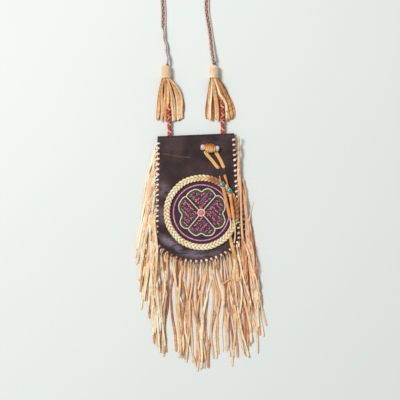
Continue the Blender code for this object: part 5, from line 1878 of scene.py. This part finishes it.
def makeBraidRing():
    # one lace that goes three times round, over and under itself
    centre = raised(discCentre)
    points, tones = [], []
    for k in range(braid["steps"]):
        swing = math.tau * braid["bights"] * k / braid["steps"]
        angle = 3 * swing / braid["bights"] + braid["start"]
        x, y = polar(angle)
        radius = braid["radius"] + braid["swing"] * math.sin(swing) + braid["waver"] * slow(x, y, 3)
        height = braid["level"] + braid["rise"] * math.sin(2 * swing)
        points.append(centre + raised(polar(angle, radius), height))
        # painted shade: the lace is darkened on two arcs, near the thongs' slots at 63 degrees and beside the tubes at
        # 8 degrees
        shadedArcs = 1.3 * math.exp(-((math.degrees(angle) % 360 - 63) / 15) ** 2)
        shadedArcs += 1.5 * math.exp(-(((math.degrees(angle) + 172) % 360 - 180) / 24) ** 2)
        tones.append(clamp(0.66 + 0.3 * slow(x * 3, y * 3, 1.5, k * 0.0002) - 0.5 * shadedArcs))
    ring = {"points": points, "facing": squared([up] * len(points), points, True), "tone": tones,
            "wide": [1 + 0.08 * math.sin(k * 0.31) for k in range(len(points))], "closed": True}
    # the lace's end hangs down over the fringe
    route = pixelLine(braid["tail"], 0.0033)
    end = layStrand(route, random.Random(41), braid["tailHeight"], half=0.0032, tone=0.62, fixed=1,
                    twist=braid["tailTwist"])
    end["wide"] = [eased(0.8, 1.05, k / 6) for k in range(len(route))]
    whole = ribbons("braidedRing", [ring], braid["width"], braid["thickness"], "ringLace")
    loose = ribbons("ringEnd", [end], braid["tailWidth"], braid["thickness"], "golden")
    settle(joined("braidedRing", whole, loose), "flap", "cream_lace", "medallion_braid")


# Toggle with its legs, and the two thongs with a bead and a rolled tube each

toggle = {"centre": (0.026, 0.0985, 0.0205), "tilt": -7, "half": 0.0188, "radius": 0.0058, "waist": 0.0044,
          "wrapHalf": 0.0108, "bulge": 0.003, "turns": 5.6, "wrapWidth": 0.004, "wrapThick": 0.0013,
          "legWidth": 0.004, "legThick": 0.0016}
dangle = {
    "left": {"leg": [(0.0166, 0.0935), (0.0196, 0.0862), (0.029, 0.074)], "hole": (0.0414, 0.0573),
             "exit": (0.0428, 0.0422), "bead": (0.0465, 0.0255),
             "tube": [(0.0485, 0.0195), (0.0603, -0.0436)],
             "end": [(0.0612, -0.052), (0.0608, -0.0576)],
             "beadSize": (0.0046, 0.0044), "tubeRadius": 0.0032, "phase": (1, 0), "endTone": 0.95,
             "finish": "lace"},
    "right": {"leg": [(0.037, 0.093), (0.039, 0.087), (0.046, 0.0735)], "hole": (0.0525, 0.0579),
              "exit": (0.0535, 0.0438), "bead": (0.0612, 0.0128),
              "tube": [(0.0619, 0.0062), (0.0668, -0.0444)],
              "end": [(0.069, -0.062), (0.0687, -0.0795), (0.0662, -0.0929)],
              "beadSize": (0.0044, 0.0048), "tubeRadius": 0.003, "phase": (2, 2), "endTone": 0.62,
              "finish": "ringLace"},
    "over": 0.01475, "height": 0.02336, "ringReach": 0.0785, "low": 0.0162, "sway": (22, 0.12),
    "width": 0.0027, "thickness": 0.0011, "upperWidth": 0.0054, "upperThickness": 0.0012,
}


def mirrored(profile):
    # a profile's upper half, and the same again below it
    return profile + [(radius, -height) for radius, height in reversed(profile)]


def makeToggle():
    half, thick, waist = toggle["half"], toggle["radius"], toggle["waist"]
    profile = mirrored([
        (0, half), (0.002, half), (0.0036, half - 0.0003), (thick - 0.001, half - 0.0012),
        (thick - 0.0002, half - 0.0026), (thick, half - 0.0044), (thick - 0.0004, half - 0.0066),
        (mix(thick, waist, 0.6), half - 0.0086), (waist, half - 0.0104), (waist, 0.004)])
    tilt = Matrix.Rotation(math.radians(toggle["tilt"]), 4, "Z")
    lying = Matrix.Translation(Vector(toggle["centre"])) @ tilt @ Matrix.Rotation(math.pi / 2, 4, "Y")
    bone = lathe("toggleBone", profile, 40, lambda a, h: 0.0002 * math.sin(2 * a + h * 90))
    settle(placed(bone, lying, "toggleBone", boneFinish), "flap", "bone", "toggle")
    points, facing = [], []
    steps = 210
    for k in range(steps + 1):
        out = raised(polar(math.tau * toggle["turns"] * k / steps))
        height = mix(toggle["wrapHalf"], -toggle["wrapHalf"], k / steps)
        swell = toggle["bulge"] * (1 - (height / toggle["wrapHalf"]) ** 2)
        height += 0.0009 * slow(k * 0.06, 3.0, 1.0, 7.0)
        points.append(lying @ (out * (waist + 0.0012 + swell) + Vector((0, 0, height))))
        facing.append(lying.to_3x3() @ out)
    facing = squared(facing, points)
    # painted light: the wrap's turns are lighter where they face down the bag and darker where they face up it, a
    # painted highlight and shade
    path = {"points": points, "facing": facing, "tone": [clamp(0.5 - 0.75 * (f.y - 0.1)) for f in facing]}
    wrap = ribbons("toggleWrap", [path], toggle["wrapWidth"], toggle["wrapThick"], "golden")
    settle(wrap, "flap", "golden_leather", "toggle_wrap")


def makeLeg(side):
    # two laces side by side from under the wrap to the hole
    look = dangle[side]
    first, second, third = look["leg"]
    x, y = look["hole"]
    over = heights["flapTop"] + toggle["legThick"] * 0.55
    line = smoothLine([
        (*first, over + 0.0022), (*second, over + 0.0008), (*third, over + 0.0002),
        (mix(third[0], x, 0.75), mix(third[1], y, 0.75), over + 0.0003), (x - 0.0004, y + 0.0012, over),
        (x, y, over - 0.0016), (x, y - 0.0003, over - 0.0036)], 0.0012)
    paths = []
    for lead, tone in ((-1, 0.8), (1, 0.66)):
        points, facing = [], []
        for k, (point, tangent) in enumerate(zip(line, tangents(line))):
            flat = squareTo(Vector((-tangent.y, tangent.x, 0)), tangent)
            near = smoothStep((len(line) - 1 - k) / 3) * 0.5 + 0.5
            points.append(point + flat * lead * eased(0.0022, 0.0016, k / 14) * near)
            upward = tangent.cross(flat)
            facing.append((upward * (-1 if upward.z < -0.01 else 1) + flat * lead * 0.35).normalized())
        facing = squared(facing, points)
        for k in range(1, len(facing)):
            if facing[k].dot(facing[k - 1]) < 0:
                facing[k] = -facing[k]
        paths.append({"points": points, "facing": facing, "tone": tone})
    made = ribbons("toggleLeg_" + side, paths, toggle["legWidth"], toggle["legThick"], "golden")
    settle(made, "flap", "golden_leather", "toggle_leg_" + side)


def makeThong(side):
    # from the leg's hole behind the flap, out through the slot and down through the bead and the tube
    look = dangle[side]
    high = dangle["height"]
    over = dangle["over"]
    exitSpot, bead, hole = Vector(look["exit"]), Vector(look["bead"]), Vector(look["hole"])
    tubeIn, tubeOut = (Vector(p) for p in look["tube"])
    behind = heights["flap"] - 0.0009
    run = (exitSpot - hole).normalized()
    places = [(*hole, behind), (*(exitSpot - run * 0.003), behind),
              (*(exitSpot - run * 0.0004), behind + 0.0014), (*(exitSpot + run * 0.0004), over - 0.0004),
              (*(exitSpot + run * 0.003), over + 0.0006),
              (*exitSpot.lerp(bead, 0.45), mix(over, high, 0.5)), (*exitSpot.lerp(bead, 0.75), high - 0.0012),
              (*bead, high), (*tubeIn, high), (*tubeIn.lerp(tubeOut, 0.5), high), (*tubeOut, high)]
    for end in look["end"]:
        near = (Vector(end) - Vector(discCentre)).length < dangle["ringReach"]
        places.append((*end, high - 0.0012 if near else dangle["low"]))
    line = smoothLine(places, 0.0013)
    count = len(line)
    degrees, waves = dangle["sway"]
    turns = [math.radians(degrees * math.sin(k * waves + look["phase"][0])) for k in range(count)]
    sides = [t.cross(squareTo(up, t)) for t in tangents(line)]
    facing = leaning(sides, line, turns)
    tones = [eased(0.15, look["endTone"], (k / count - 0.25) / 0.4) for k in range(count)]
    name = "dangleThong_" + side
    thong = ribbons(name, [{"points": line, "facing": facing, "tone": tones}], dangle["width"],
                    dangle["thickness"], look["finish"])
    if side == "right":
        # a wider strap of the same thong lies over its upper part
        part = [k for k, p in enumerate(line) if bead.y + 0.009 < p.y and k > 3]
        wide = [eased(0.5, 1.0, (len(part) - 1 - n) / (len(part) * 0.55)) for n in range(len(part))]
        path = {"points": [line[k] + up * 0.001 for k in part], "facing": [facing[k] for k in part],
                "tone": 0.3, "wide": wide}
        upper = ribbons("thongWide", [path], dangle["upperWidth"], dangle["upperThickness"], "golden")
        thong = joined(name, thong, upper)
    settle(thong, "flap", "golden_leather", "dangle_thong_" + side)


def alongMatrix(centre, way):
    return Matrix.Translation(centre) @ up.rotation_difference(way.normalized()).to_matrix().to_4x4()


def makeBeadAndTube(side):
    look = dangle[side]
    bead, start, stop = (raised(p, dangle["height"]) for p in (look["bead"], *look["tube"]))
    radius, long = look["beadSize"]
    profile = [(0, long - 0.0002)]
    for angle in (math.pi * k / 12 for k in range(13)):
        profile.append((radius * (0.3 + 0.7 * math.sin(angle) ** 0.75), long * math.cos(angle)))
    profile.append((0, 0.0002 - long))
    stone = placed(lathe("bead_" + side, profile, 32, lambda a, h: 0.00025 * math.sin(3 * a + h * 500)),
                   alongMatrix(bead, start - bead), "beadStone_" + side, turquoise)
    settle(stone, "flap", "turquoise_bead", "bead_" + side)
    half = (stop - start).length / 2 - 0.0008
    wide = look["tubeRadius"]
    end = [(0, half - 0.001), (0.0016, half - 0.0008), (wide - 0.0006, half), (wide - 0.0001, half - 0.0004)]
    body = [(wide * (1 + 0.05 * math.sin(t * 9 + look["phase"][1])), mix(half - 0.0006, 0.0006 - half, t))
            for t in (k / 16 for k in range(1, 16))]
    profile = [*end, *body, *[(across, -height) for across, height in reversed(end)]]

    def rolled(angle, height):
        turn = (angle - 1.2 + height * 10) % math.tau / math.tau
        return mix(0.0004, -0.0004, turn / 0.05) if turn < 0.05 else -0.0004 + 0.0008 * turn

    roll = placed(lathe("tube_" + side, profile, 36, rolled), alongMatrix((start + stop) / 2, start - stop),
                  "rolledTube_" + side, tubeLeather)
    settle(roll, "flap", "golden_leather", "tube_" + side)


makeMedallion()
makeBraidRing()
print("Medallion made")
makeToggle()
for side in ("left", "right"):
    makeLeg(side)
    makeThong(side)
    makeBeadAndTube(side)
print("Toggle and dangles made")

for helper in (stripProfile, roundProfile):
    bpy.data.objects.remove(helper)
sizes = {"cad": [list(corner) for corner in cadBox], "visual": [list(corner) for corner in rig.bounds()]}
with open("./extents.json", "w") as file:
    json.dump(sizes, file, indent=1)
print("Sizes:", sizes)
